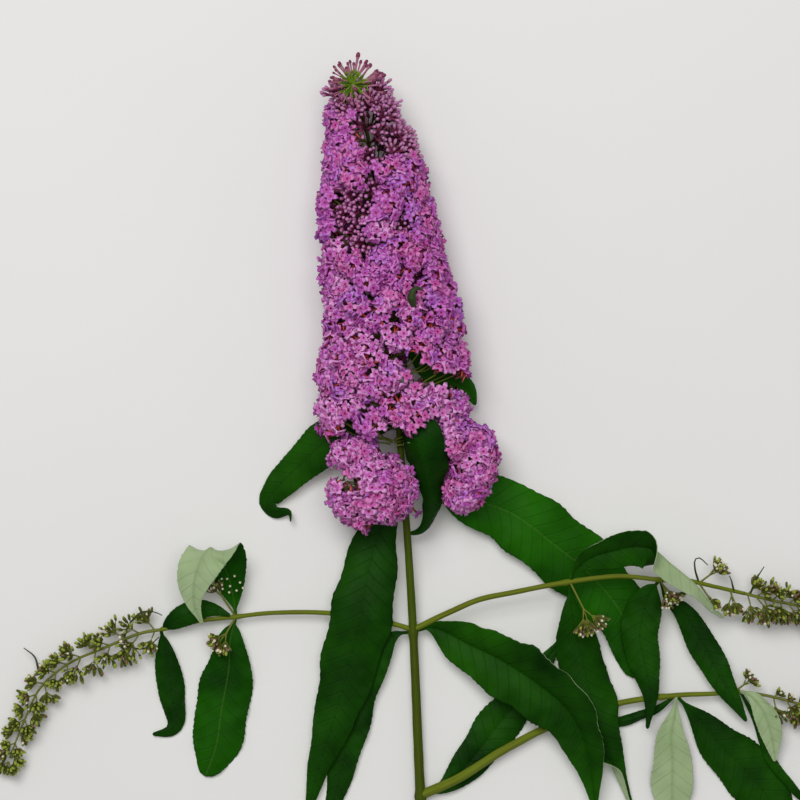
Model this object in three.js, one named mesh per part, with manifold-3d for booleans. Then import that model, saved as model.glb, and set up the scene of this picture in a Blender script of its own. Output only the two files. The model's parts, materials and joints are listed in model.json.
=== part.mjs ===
// A cut flowering branch of butterfly bush, lying on a level surface.
// Millimetres, +Z up. Points are given from the lower fork of the main stem, the place
// where the left and the upper right shoot leave it, at the height of that surface.
// At the end the whole branch is moved so that the origin lies under the middle of its box.

import * as THREE from "three";
import { mergeVertices } from "three/addons/utils/BufferGeometryUtils.js";
import Module from "manifold-3d";

const wasm = await Module();
wasm.setup();

// ---------------------------------------------------------------- driving dimensions

const CLEARANCE = 0.35;            // between a limb and whatever grows on it
const LEAF_SLOT = 0.6;             // round a leaf that lies among the flowers
const SLIVER = 0.02;               // joins and cuts leave no triangle thinner than this
const SAME_PLACE = 0.001;          // corners nearer than this are one corner

const MAIN_STEM = {
  route: [[6, -125, 2.9], [4, -89, 5], [0, 1, 9], [-3, 51, 15], [-6, 90, 22], [-8, 117, 27],
    [-10, 154, 31], [-15, 198, 31], [-20, 241, 27], [-25, 272, 25], [-31, 294, 26]],
  thickness: [5.4, 1.7],
  nodes: [0.083, 0.298, 0.51],
};
const LEFT_SHOOT = {
  route: [[0, 2, 9], [-10, 5, 9], [-45, 11, 9], [-79, 11, 8], [-97, 9, 8], [-115, 7, 8],
    [-138, 2, 8]],
  thickness: [2.6, 1.9],
  nodes: [0.7],
};
const UPPER_RIGHT_SHOOT = {
  route: [[0, 2, 9], [20, 12, 13], [36, 19, 16], [54, 23, 18], [85, 29, 20], [112, 32, 20],
    [134, 30, 19], [151, 29, 17], [164, 26, 14], [181, 22, 12]],
  thickness: [3.0, 1.9],
  nodes: [0.47, 0.74, 0.83],
};
const LOWER_RIGHT_SHOOT = {
  route: [[4, -89, 5], [24, -80, 7], [48, -65, 7], [75, -51, 7], [110, -39, 7], [144, -34, 8],
    [166, -33, 8], [179, -32, 8]],
  thickness: [5.0, 2.0],
  nodes: [0.77, 0.985],
};

// Each leaf: the route of its midrib from the stem to the tip, its greatest width, where
// along it that lies, and what it does. roll turns the blade about the midrib, left and
// right lower the two half blades, each as [place along the leaf, degrees] pairs.
const LEAVES = {
  leaf_spike_left: {
    route: [[-7, 112, 24], [-26, 114, 19], [-36, 113, 18], [-50, 103, 15], [-63, 91, 10],
      [-76, 78, 6], [-80, 71, 4], [-76, 66, 4], [-68, 66, 6], [-67, 61, 8]],
    width: 23, widest: 0.38, left: [[0, 12]], right: [[0, 12]],
  },
  leaf_spike_front: {
    route: [[-7, 108, 29], [-6, 107.5, 38], [-3, 109, 46], [0.8, 107.4, 50], [3, 99, 48],
      [6.2, 90.3, 44], [8.4, 80, 38], [9, 71, 31], [7, 62.7, 24], [2.6, 56, 18],
      [-3.4, 54.5, 15]],
    width: 30, widest: 0.33, left: [[0, 5], [0.35, 8], [0.62, 45]], right: [[0, 60]],
    roll: [[0, 10], [0.6, 10], [1, 50]],
  },
  leaf_spike_right: {
    route: [[-6, 87, 21], [15, 84, 16], [38, 72, 12], [53, 66, 11], [64, 59, 11], [75, 50, 9],
      [88, 40, 7], [97, 32, 6], [106, 22, 5], [115, 9, 4], [120, -8, 3], [121, -25, 2.4]],
    width: 38, widest: 0.5, left: [[0, 6]], right: [[0, 6]], blunt: 0.45,
  },
  leaf_spike_small: {
    route: [[-9, 161, 30], [4, 152, 25], [12, 144, 22], [22, 138, 19], [30, 133, 16],
      [34, 125, 12]],
    width: 17, widest: 0.5, left: [[0, 8]], right: [[0, 8]],
  },
  leaf_long_left: {
    route: [[-6, 85, 21], [-13, 70, 13], [-18, 57, 12], [-23, 40, 14], [-27.5, 13, 17],
      [-34, -14, 13], [-43.5, -48, 10], [-52, -75, 7], [-60, -108, 3]],
    width: 34, widest: 0.38, left: [[0, 10]], right: [[0, 10]], wave: 2.2, blunt: 1.2,
  },
  leaf_fork_left: {
    route: [[0, 1, 9], [-10, -1, 9], [-18, -12, 7], [-28.5, -31, 5], [-34.5, -53, 3.6],
      [-39.5, -75, 2.6], [-43.5, -92, 2], [-50, -113, 1.6]],
    width: 20, widest: 0.42, left: [[0, 4]], right: [[0, 8]],
  },
  leaf_fork_right: {
    route: [[0, 1, 9], [11, 3, 10], [31, -6, 15], [48, -14, 18.5], [68, -27, 20],
      [83, -40, 19], [92, -56, 16], [97, -76, 13], [100, -98, 9]],
    width: 38, widest: 0.4, left: [[0, -24], [0.5, -30]], right: [[0, -6]],
  },
  leaf_foot_right: {
    route: [[4, -89, 5], [18, -84, 4], [33, -69, 3], [45, -53, 2.4], [58, -37, 2.2],
      [70, -20, 2.2], [82, -3, 2.2]],
    width: 23, widest: 0.45, left: [[0, 3]], right: [[0, 3]],
  },
  leaf_left_folded: {
    route: [[-97, 9, 8], [-98, 19, 11], [-100.5, 31, 15], [-104.5, 42, 20], [-107.5, 46.5, 26],
      [-110, 47.5, 31], [-114.5, 41, 33.5], [-118, 30, 31], [-118.5, 18, 26], [-114.5, 6, 20]],
    width: 27.5, widest: 0.42, left: [[0, 8], [0.4, 8], [0.52, -52], [0.7, 0]], right: [[0, 8]],
    roll: [[0, 0], [0.38, 0], [0.56, -80], [1, -90]], blunt: 1.25,
  },
  leaf_left_down: {
    route: [[-97, 9, 8], [-100, -4, 8], [-101, -20, 6], [-105, -42, 4.6], [-108, -62, 4],
      [-114, -79, 2.4]],
    width: 30, widest: 0.55, left: [[0, 9]], right: [[0, 9]], blunt: 0.45,
  },
  leaf_left_curled: {
    route: [[-138, 2, 8], [-132, 6, 10.5], [-124, 10.5, 12.5], [-116, 13, 12], [-109, 13, 10.5],
      [-100, 10, 10.5]],
    width: 13, widest: 0.38, left: [[0, 20]], right: [[0, 20]],
  },
  leaf_left_narrow: {
    route: [[-138, 2, 8], [-136, -9, 6.6], [-134, -23, 5], [-132, -37, 4], [-130, -49, 3],
      [-133, -54, 2.8], [-143, -56, 2]],
    width: 15, widest: 0.42, left: [[0, 12]], right: [[0, 12]],
  },
  leaf_right_folded: {
    route: [[85, 29, 20], [89, 36.5, 23], [97, 42.5, 26], [108, 46, 29], [119, 48.5, 32],
      [128, 47.5, 33], [138, 39.5, 32], [152, 28, 28], [161, 17.5, 22], [169, 9, 14]],
    width: 23, widest: 0.42, left: [[0, -10], [0.42, -20], [0.54, -125], [1, -125]],
    right: [[0, -14], [0.45, 0], [0.6, 60], [1, 60]],
  },
  leaf_right_down: {
    route: [[85, 29, 20], [86, 15, 18], [89, -1, 14], [93, -17, 12.4], [98, -39, 11.4],
      [104, -61, 9], [114, -84, 5], [123, -104, 3]],
    width: 29, widest: 0.38, left: [[0, 35], [0.35, 35], [0.6, 5]], right: [[0, 8]], blunt: 1.3,
  },
  leaf_right_notched: {
    route: [[134, 30, 19], [129, 23, 16], [125, 10, 14], [123.5, -3, 13], [127, -20, 12.6],
      [129.5, -33, 12], [128, -52, 10]],
    width: 21, widest: 0.32, left: [[0, 6]], right: [[0, 12]], blunt: 1.2,
  },
  leaf_right_long: {
    route: [[134, 30, 19], [138, 21, 15], [147, 12, 12], [157, -4, 11], [166, -21, 12],
      [175, -36, 12], [182, -48, 10]],
    width: 16, widest: 0.5, left: [[0, 8]], right: [[0, 8]],
  },
  leaf_low_silver: {
    route: [[144, -34, 8], [143, -43, 9], [141, -56, 8], [142, -70, 6], [142, -86, 4],
      [143, -113, 2.4]],
    width: 23, widest: 0.52, left: [[0, 8]], right: [[0, 8]], roll: [[0, 180], [1, 180]],
  },
  leaf_low_dark: {
    route: [[144, -34, 8], [157, -48, 5], [169, -62, 4], [182, -75, 3.4], [196, -92, 2.6],
      [213, -120, 2]],
    width: 29, widest: 0.5, left: [[0, 6]], right: [[0, 6]],
  },
  leaf_low_pale: {
    route: [[179, -32, 8], [185, -34, 13], [191, -42, 14], [195, -54, 12], [198, -70, 8]],
    width: 13, widest: 0.5, left: [[0, 10]], right: [[0, 10]], roll: [[0, 180], [1, 160]],
  },
  leaf_low_narrow: {
    route: [[179, -32, 8], [186, -44, 6], [192, -59, 6], [199, -74, 6.4], [212, -89, 6],
      [225, -99, 4.4]],
    width: 7, widest: 0.5, left: [[0, 40]], right: [[0, 40]],
  },
  leaf_low_edge: {
    route: [[144, -34, 8], [135, -41, 6.4], [124, -46, 5], [110, -50, 4], [96, -53, 3]],
    width: 7, widest: 0.5, left: [[0, 40]], right: [[0, 40]],
  },
};

// The flower spike: opposite pairs of flower clusters, side by side and then one above the
// other, from its foot to its tip. Half sizes are taken at even steps along its axis.
const SPIKE = {
  axis: [[-11, 112, 29], [-11, 128, 29], [-10, 154, 31], [-13, 181, 31.5], [-18, 208, 30],
    [-20.5, 235, 28], [-24, 265, 25.5], [-33, 300, 27]],
  halfWidths: [38, 41, 38, 35, 31.5, 28.5, 25, 18],
  halfHeights: [27.5, 28, 29.5, 29.5, 28, 26, 23, 18],
  levels: [0.07, 0.225, 0.37, 0.51, 0.64, 0.76, 0.87],
  belowAxis: 5,                    // how far the lowest flowers reach below the axis
  tipFrom: 0.93,                   // where along the axis the tip of buds takes over
};
const SPIN = 1.5;                 // from one flower to the next, in radians
const FLOWER = { radius: 7.9, notch: 0.58, rise: 2.6, thickness: 0.5, root: 3.2, spacing: 17 };

// Round flower clusters on stalks below the spike: a few lumps each, as centre and radii.
const SIDE_CLUSTERS = {
  flowers_ball_left: {
    stalk: [[-6.5, 90, 22], [-12, 89, 27], [-23, 83, 34]],
    lumps: [{ centre: [-23.5, 81, 35], radii: [22.5, 21.5, 18] }],
  },
  flowers_arc_right: {
    stalk: [[-6.5, 90, 22], [8, 92, 26], [28, 94, 30]],
    lumps: [
      { centre: [24, 97, 31], radii: [13, 10, 12] },
      { centre: [35, 94, 29], radii: [11, 19, 12] },
      { centre: [28, 77, 26], radii: [11, 9, 9] },
    ],
  },
};

// Bud panicles at the ends of the shoots, as routes that carry on from the shoot's tip.
const BUD_PANICLES = {
  buds_left_end: {
    route: [[-138, 2, 8], [-149, 0, 8], [-169, -8, 8], [-189, -17, 7.4], [-204, -30, 7],
      [-212, -46, 6.6], [-221, -69, 6.2], [-224, -80, 6]],
    levels: 9, reach: [16, 9], seed: 7,
  },
  buds_upper_right_end: {
    route: [[181, 22, 12], [197, 18, 11], [211, 15, 10], [233, 7, 9], [250, -3, 8.4],
      [262, -16, 8]],
    levels: 7, reach: [16, 9], seed: 11,
  },
  buds_lower_right_end: {
    route: [[179, -32, 8], [193, -34, 8], [212, -39, 8], [234, -49, 8], [250, -60, 8],
      [262, -73, 7.6]],
    levels: 7, reach: [16, 9], seed: 23,
  },
};

const BUD_RADIUS = 1.6;

// Small bud clusters in the leaf pairs: from the stem at foot to the heart of the cluster.
const BUD_CLUSTERS = {
  buds_left_down: { foot: [-97, 9, 8], heart: [-104, -4, 14], reach: 8, buds: 11 },
  buds_left_up: { foot: [-97, 9, 8], heart: [-105, 25, 17], reach: 8, buds: 10 },
  buds_right_down: { foot: [85, 29, 20], heart: [96, 7, 23], reach: 11, buds: 15 },
  buds_right_under: { foot: [134, 30, 19], heart: [141, 20, 22], reach: 10, buds: 13 },
  buds_right_up: { foot: [155.5, 28, 16], heart: [166, 37, 17], reach: 9, buds: 12 },
  buds_right_low: { foot: [155.5, 28, 16], heart: [163, 18, 17], reach: 8, buds: 6 },
  buds_low_up: { foot: [175.5, -32.3, 8], heart: [185, -25, 12], reach: 8, buds: 6 },
};

const COLOURS = {
  stem: 0x4a5a12, leaf: 0x1d4a08, silver: 0x86a06c, flower: 0xc070ba, bud: 0x6f7a3a,
};

// ---------------------------------------------------------------- helpers

const UP = new THREE.Vector3(0, 0, 1);
const GOLDEN_ANGLE = Math.PI * (3 - Math.sqrt(5));
const vec = (point) => new THREE.Vector3(...point);
const radians = THREE.MathUtils.degToRad;
const routeCurve = (points) => new THREE.CatmullRomCurve3(points.map(vec));

// A repeatable stream of numbers from 0 to 1.
function seededRandom(seed) {
  let state = seed;
  return () => {
    state = (state * 16807) % 2147483647;
    return state / 2147483647;
  };
}

// The value at a place from 0 to 1 along evenly spaced numbers.
function along(values, place) {
  const scaled = THREE.MathUtils.clamp(place, 0, 1) * (values.length - 1);
  const first = Math.min(Math.floor(scaled), values.length - 2);
  return THREE.MathUtils.lerp(values[first], values[first + 1], scaled - first);
}

// The value at a place along [place, value] pairs, eased between them.
function eased(pairs, place) {
  const next = pairs.findIndex(([at]) => at > place);
  if (next === 0) return pairs[0][1];
  if (next < 0) return pairs[pairs.length - 1][1];
  const [[from, before], [to, after]] = [pairs[next - 1], pairs[next]];
  return THREE.MathUtils.lerp(before, after, THREE.MathUtils.smoothstep(place, from, to));
}

// A closed body through rings of points, its two ends closed by a fan to their middle.
function loft(rings) {
  const sides = rings[0].length;
  const middle = (ring) => ring.reduce((sum, p) => sum.add(p), new THREE.Vector3())
    .divideScalar(sides);
  const points = [...rings.flat(), middle(rings[0]), middle(rings[rings.length - 1])];
  const startPoint = points.length - 2;
  const endPoint = points.length - 1;
  const lastRing = (rings.length - 1) * sides;
  const index = [];
  for (let side = 0; side < sides; side += 1) {
    const next = (side + 1) % sides;
    for (let row = 0; row < lastRing; row += sides) {
      index.push(row + side, row + next, row + sides + side);
      index.push(row + next, row + sides + next, row + sides + side);
    }
    index.push(startPoint, next, side);
    index.push(endPoint, lastRing + side, lastRing + next);
  }
  const geometry = new THREE.BufferGeometry().setFromPoints(points);
  geometry.setIndex(index);
  return geometry;
}

// Frames along a route: point, direction, side and top, with the side level at the start.
function framesAlong(points, steps) {
  const curve = routeCurve(points);
  let side = null;
  return Array.from({ length: steps + 1 }, (unused, step) => {
    const place = step / steps;
    const direction = curve.getTangentAt(place);
    side = side ? side.clone() : new THREE.Vector3().crossVectors(UP, direction);
    side.addScaledVector(direction, -side.dot(direction)).normalize();
    const top = new THREE.Vector3().crossVectors(direction, side);
    return { place, point: curve.getPointAt(place), direction, side, top };
  });
}

// A tapering round limb, a little swollen at its leaf nodes. grow makes it fatter and
// longer, for cutting a clear space round it.
function limb({ route, thickness, nodes = [] }, { sides = 7, steps = 16, grow = 0 } = {}) {
  const nodeSwelling = 1.22;
  const rings = framesAlong(route, steps).map(({ place, point, direction, side, top }) => {
    const atNode = nodes.some((node) => Math.abs(node - place) < 0.6 / steps);
    const swelling = atNode ? nodeSwelling : 1;
    const radius = (swelling * along(thickness, place)) / 2 + grow;
    const lengthen = place === 0 ? -grow : Math.floor(place) * grow;
    return Array.from({ length: sides }, (unused, index) => {
      const angle = (2 * Math.PI * index) / sides;
      return point.clone().addScaledVector(side, radius * Math.cos(angle))
        .addScaledVector(top, radius * Math.sin(angle)).addScaledVector(direction, lengthen);
    });
  });
  return loft(rings);
}

const LEAF_STEPS = 11;
const PETIOLE_HALF_WIDTH = 0.9;
const LEAF_THICKNESS = 1.15;       // the least, for a short leaf
const LENGTH_TO_THICKNESS = 95;    // for a long one
const WAVES = 17;                  // how fast the edges ripple along a leaf, in radians
const TIP_SHRINK = 0.45;           // the last ring of a leaf against the one before
const SHOULDER = 0.55;             // where across a half blade its arch is highest

// Half the width of a blade at a place along it: widest at its own place, drawn out to
// a point at the tip, on a short stalk.
function halfWidthAt({ width, widest, blunt = 1 }, place) {
  const stalkEnd = 0.05;
  const blade = THREE.MathUtils.clamp((place - stalkEnd) / (1 - stalkEnd), 0, 1);
  const tipPower = 1.25 * blunt;
  const footPower = (tipPower * widest) / (1 - widest);
  const shape = (x) => x ** footPower * (1 - x) ** tipPower;
  return PETIOLE_HALF_WIDTH + (width / 2 - PETIOLE_HALF_WIDTH) * (shape(blade) / shape(widest));
}

// A leaf blade: midrib raised over two arched halves with thin edges. grow makes it fatter,
// for cutting a clear space round it.
function leafBlade(leaf, grow = 0) {
  const length = routeCurve(leaf.route).getLength();
  const thickness = Math.max(LEAF_THICKNESS, length / LENGTH_TO_THICKNESS);
  const { roll = [[0, 0]], wave = 1.1 } = leaf;
  const rings = framesAlong(leaf.route, LEAF_STEPS).map((frame) => {
    const { place, point, direction, side, top } = frame;
    const tipShrink = place === 1 ? TIP_SHRINK : 1;
    const half = halfWidthAt(leaf, place) * tipShrink + grow;
    const turned = (degrees, vector) => vector.clone().applyAxisAngle(direction, radians(degrees));
    const rollHere = eased(roll, place);
    const ripple = wave * Math.sin(place * WAVES) * (half / leaf.width);
    const leftTurn = rollHere - eased(leaf.left, place);
    const rightTurn = rollHere + eased(leaf.right, place);
    const outLeft = turned(leftTurn, side.clone());
    const outRight = turned(rightTurn, side.clone().negate());
    const topLeft = turned(leftTurn, top);
    const topRight = turned(rightTurn, top);
    const topMiddle = turned(rollHere, top);
    const thick = thickness * tipShrink + 2 * grow;
    const arch = 0.05 * half;
    const at = (out, outward, upVector, upward) => point.clone()
      .addScaledVector(out, outward).addScaledVector(upVector, upward);
    return [
      at(outLeft, half, topLeft, -ripple),
      at(outLeft, half * SHOULDER, topLeft, thick * 0.4 + arch - ripple * 0.4),
      at(outLeft, 0, topMiddle, thick * 0.5),
      at(outRight, half * SHOULDER, topRight, thick * 0.4 + arch + ripple * 0.4),
      at(outRight, half, topRight, ripple),
      at(outLeft, 0, topMiddle, -thick * 0.5),
    ];
  });
  return loft(rings);
}

// ---------------------------------------------------------------- joining and cutting

function solid(geometry, tolerance = 1e-5) {
  geometry.deleteAttribute("normal");
  geometry.deleteAttribute("uv");
  const merged = mergeVertices(geometry, tolerance);
  return new wasm.Manifold(new wasm.Mesh({
    numProp: 3,
    vertProperties: Float32Array.from(merged.attributes.position.array),
    triVerts: Uint32Array.from(merged.index.array),
  }));
}

const joined = (solids) => solids.reduce((whole, piece) => whole.add(piece));
const without = (body, cutters) => cutters.reduce((left, cutter) => left.subtract(cutter), body);

// The largest piece of a body that a cut may have left in several.
function largest(body) {
  return body.decompose().reduce((best, piece) => (piece.volume() > best.volume() ? piece : best));
}

function meshGeometry(body) {
  const { vertProperties, triVerts } = body.getMesh();
  const geometry = new THREE.BufferGeometry();
  geometry.setAttribute("position", new THREE.BufferAttribute(vertProperties, 3));
  geometry.setIndex(new THREE.BufferAttribute(triVerts, 1));
  return geometry;
}

// A body's finished geometry. Corners that all but coincide become one, and a scrap that
// hung on by such a corner is dropped.
function geometryOf(body) {
  const welded = solid(meshGeometry(body.simplify(SLIVER)), SAME_PLACE);
  return meshGeometry(largest(welded));
}

function named(name, geometry, colour, roughness) {
  const material = new THREE.MeshStandardMaterial({ color: colour, roughness, metalness: 0 });
  const mesh = new THREE.Mesh(geometry, material);
  mesh.name = name;
  return mesh;
}

// ---------------------------------------------------------------- flowers and buds

// Turns a geometry built round +Z so that it looks along a direction from a point.
function placed(geometry, point, direction, spin = 0) {
  const turn = new THREE.Quaternion().setFromUnitVectors(UP, direction);
  geometry.rotateZ(spin);
  geometry.applyQuaternion(turn);
  return geometry.translate(point.x, point.y, point.z);
}

// A four-lobed flower on its tube: four flaps round a square trumpet that is rooted well
// inside. The rim goes lobe, notch, lobe, notch, and only the notches run down to the root.
function flowerHead(point, direction, spin) {
  const lobes = 4;
  const rim = Array.from({ length: 2 * lobes }, (unused, index) => {
    const reach = FLOWER.radius * (index % 2 ? FLOWER.notch : 1);
    const angle = (Math.PI * index) / lobes;
    const height = FLOWER.rise - (index % 2 ? FLOWER.thickness : 0);
    return new THREE.Vector3(reach * Math.cos(angle), reach * Math.sin(angle), height);
  });
  const eyePoint = new THREE.Vector3(0, 0, FLOWER.rise + 2 * FLOWER.thickness);
  const points = [...rim, eyePoint, new THREE.Vector3(0, 0, -FLOWER.root)];
  const eye = 2 * lobes;
  const root = eye + 1;
  const index = [];
  for (let lobe = 0; lobe < eye; lobe += 2) {
    const before = (lobe + eye - 1) % eye;
    index.push(before, lobe, eye, lobe, lobe + 1, eye);
    index.push(before, lobe + 1, lobe, before, root, lobe + 1);
  }
  const geometry = new THREE.BufferGeometry().setFromPoints(points);
  geometry.setIndex(index);
  return placed(geometry, point, direction, spin);
}

// A lump: an ellipsoid with its own three directions, right-handed as x, y and z are.
function lumpOf(centre, radii, directions) {
  const turn = new THREE.Matrix4().makeBasis(...directions);
  return {
    centre, radii, turn,
    inside(point, slack = 1) {
      const local = point.clone().sub(centre).applyMatrix4(turn.clone().transpose());
      return Math.hypot(local.x / radii[0], local.y / radii[1], local.z / radii[2]) < slack;
    },
    geometry() {
      const sphere = new THREE.SphereGeometry(1, 9, 6);
      sphere.scale(...radii).applyMatrix4(turn);
      return sphere.translate(centre.x, centre.y, centre.z);
    },
    // How many flowers cover it, from its area by the usual close formula for ellipsoids.
    flowerCount() {
      const power = 1.6075;
      const [a, b, c] = radii.map((radius) => radius ** power);
      const area = 4 * Math.PI * ((a * b + a * c + b * c) / 3) ** (1 / power);
      return Math.round(area / FLOWER.spacing ** 2);
    },
    // A point of the surface and its outward direction, from a direction of the unit ball.
    surface(ball) {
      const [rx, ry, rz] = radii;
      const point = new THREE.Vector3(ball.x * rx, ball.y * ry, ball.z * rz);
      const outward = new THREE.Vector3(ball.x / rx, ball.y / ry, ball.z / rz).normalize();
      return {
        point: point.applyMatrix4(turn).add(centre), outward: outward.applyMatrix4(turn),
      };
    },
  };
}

// Even directions all round, by the golden angle.
function ballDirections(count) {
  return Array.from({ length: count }, (unused, index) => {
    const height = 1 - (2 * index + 1) / count;
    const ring = Math.sqrt(1 - height * height);
    const angle = GOLDEN_ANGLE * index;
    return new THREE.Vector3(ring * Math.cos(angle), ring * Math.sin(angle), height);
  });
}

// Lumps with flowers all over them, where allowed(point) says there is room.
function flowerMass(lumps, allowed) {
  const flowers = lumps.flatMap((lump) => ballDirections(lump.flowerCount()).map((ball, index) => {
    const { point, outward } = lump.surface(ball);
    const heart = point.clone().addScaledVector(outward, FLOWER.rise);
    const hidden = lumps.some((other) => other !== lump && other.inside(heart, 1.08));
    return hidden || !allowed(heart) ? null : solid(flowerHead(point, outward, SPIN * index));
  })).filter(Boolean);
  return joined([...lumps.map((lump) => solid(lump.geometry())), ...flowers]);
}

// A bud on its own thin stalk, as one slim club with three sides that is widest near its end.
function club(foot, direction, length, radius) {
  const belly = Array.from({ length: 3 }, (unused, index) => {
    const angle = (2 * Math.PI * index) / 3;
    return new THREE.Vector3(radius * Math.cos(angle), radius * Math.sin(angle), length * 0.8);
  });
  const ends = [new THREE.Vector3(0, 0, 0), new THREE.Vector3(0, 0, length)];
  const geometry = new THREE.BufferGeometry().setFromPoints([...belly, ...ends]);
  geometry.setIndex([1, 0, 3, 2, 1, 3, 0, 2, 3, 0, 1, 4, 1, 2, 4, 2, 0, 4]);
  return solid(placed(geometry, foot, direction));
}

const floorClear = (point, margin) => point.z > margin;

// ---------------------------------------------------------------- sub-parts

const limbs = {
  main_stem: MAIN_STEM,
  shoot_left: LEFT_SHOOT,
  shoot_upper_right: UPPER_RIGHT_SHOOT,
  shoot_lower_right: LOWER_RIGHT_SHOOT,
};

const fatLimbs = Object.values(limbs)
  .map((shape) => solid(limb(shape, { grow: CLEARANCE })));

function makeLimbs() {
  const fatMainStem = fatLimbs[0];
  return Object.entries(limbs).map(([name, shape]) => {
    const body = solid(limb(shape));
    const clear = name === "main_stem" ? body : largest(body.subtract(fatMainStem));
    return named(name, geometryOf(clear), COLOURS.stem, 0.6);
  });
}

// What grows at a node is cut clear of the limbs and of whatever grew there before it.
const NODE_REACH = 4;
const grown = [];

function cutClear(body, foot) {
  const neighbours = grown.filter((other) => other.foot.distanceTo(foot) < NODE_REACH);
  return largest(without(body, [...fatLimbs, ...neighbours.map((other) => other.fat)]));
}

function makeLeaves() {
  return Object.entries(LEAVES).map(([name, leaf]) => {
    const foot = vec(leaf.route[0]);
    const body = cutClear(solid(leafBlade(leaf)), foot);
    grown.push({ foot, fat: solid(leafBlade(leaf, CLEARANCE)) });
    const colour = leaf.roll && leaf.roll[0][1] === 180 ? COLOURS.silver : COLOURS.leaf;
    return named(name, geometryOf(body), colour, 0.45);
  });
}

// The leaves that lie among the flowers, made fatter, so that each has a clear slot.
const leavesInFlowers = ["leaf_spike_left", "leaf_spike_front", "leaf_spike_right",
  "leaf_spike_small", "leaf_long_left"]
  .map((name) => solid(leafBlade(LEAVES[name], LEAF_SLOT)));

// Keeps the part of a body ahead of a plane through a point, less half the clearance.
function trimmed(body, point, normal) {
  return body.trimByPlane(normal.toArray(), normal.dot(point) + CLEARANCE / 2);
}

// One flower cluster of the spike, which fills its own cell: between two levels and on one
// side of the axis.
function spikeCluster(level, towards, cell) {
  const { point, direction, side, top } = level.frame;
  const outward = towards.lateral ? side : top;
  const outHalf = (towards.lateral ? level.halfWidth : level.halfHeight) - FLOWER.rise - 1;
  const crossHalf = (towards.lateral ? level.halfHeight : level.halfWidth) - FLOWER.rise - 1;
  const normal = outward.clone().multiplyScalar(towards.sign);
  const centre = point.clone().addScaledVector(normal, outHalf * 0.34);
  const radii = towards.lateral
    ? [level.reach, outHalf * 0.68, crossHalf]
    : [level.reach, crossHalf, outHalf * 0.68];
  const lump = lumpOf(centre, radii, [direction, side, top]);
  const planes = [
    { point: cell.from.point, normal: cell.from.direction },
    { point: cell.to.point, normal: cell.to.direction.clone().negate() },
    { point, normal },
    { point: point.clone().addScaledVector(normal, spikeRoomHalf), normal: normal.clone().negate() },
  ];
  const margin = FLOWER.radius * 0.42;
  const allowed = (heart) => floorClear(heart, FLOWER.radius * 0.3)
    && planes.every((plane) => heart.clone().sub(plane.point).dot(plane.normal) > margin);
  const whole = flowerMass([lump], allowed);
  const cut = planes.reduce((body, plane) => trimmed(body, plane.point, plane.normal), whole);
  return largest(without(cut, [fatLimbs[0], ...leavesInFlowers, floorSlab()]));
}

// Everything below the surface that the branch lies on.
function floorSlab() {
  const depth = 60;
  const slab = new THREE.BoxGeometry(900, 900, depth);
  return solid(slab.translate(0, 0, -depth / 2));
}

function frameAt(place) {
  const curve = routeCurve(SPIKE.axis);
  const direction = curve.getTangentAt(place);
  const side = new THREE.Vector3().crossVectors(UP, direction).normalize();
  const top = new THREE.Vector3().crossVectors(direction, side);
  return { point: curve.getPointAt(place), direction, side, top };
}

// Where the spike's first cells begin, below the first flowers of its axis.
function spikeFoot() {
  const { point, direction } = frameAt(0);
  return point.clone().addScaledVector(direction, -SPIKE.belowAxis);
}

const spikeRoomHalf = Math.max(...SPIKE.halfWidths) + 1;

function makeSpike() {
  const places = SPIKE.levels;
  const length = routeCurve(SPIKE.axis).getLength();
  const between = places.slice(1).map((place, index) => (place + places[index]) / 2);
  const ends = [0, ...between, SPIKE.tipFrom];
  return places.flatMap((place, number) => {
    const lateral = number % 2 === 0;
    const cell = { from: frameAt(ends[number]), to: frameAt(ends[number + 1]) };
    const level = {
      frame: frameAt(place),
      halfWidth: along(SPIKE.halfWidths, place),
      halfHeight: along(SPIKE.halfHeights, place),
      reach: (ends[number + 1] - ends[number]) * length * 0.95,
    };
    if (number === 0) cell.from.point.copy(spikeFoot());
    return [1, -1].map((sign) => {
      const where = lateral ? { 1: "left", [-1]: "right" } : { 1: "top", [-1]: "under" };
      const body = spikeCluster(level, { lateral, sign }, cell);
      return named(`flowers_${number + 1}_${where[sign]}`, geometryOf(body), COLOURS.flower, 0.7);
    });
  });
}

// The tip of the spike: unopened buds on thin tubes that spread from a small heart.
function makeSpikeTip() {
  const start = frameAt(SPIKE.tipFrom);
  const heart = frameAt(0.965);
  const reach = 20;
  const budCount = 30;
  const lump = lumpOf(heart.point, [8, 9, 9], [heart.direction, heart.side, heart.top]);
  const buds = ballDirections(budCount)
    .map((ball) => ball.clone().applyMatrix4(lump.turn))
    .filter((ball) => ball.dot(heart.direction) > -0.2)
    .map((ball) => club(heart.point, ball, reach, BUD_RADIUS * 1.25));
  const body = joined([solid(lump.geometry()), ...buds]);
  const cut = trimmed(body, start.point, start.direction);
  return named("flowers_tip", geometryOf(largest(cut.subtract(fatLimbs[0]))), COLOURS.flower, 0.7);
}

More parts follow.
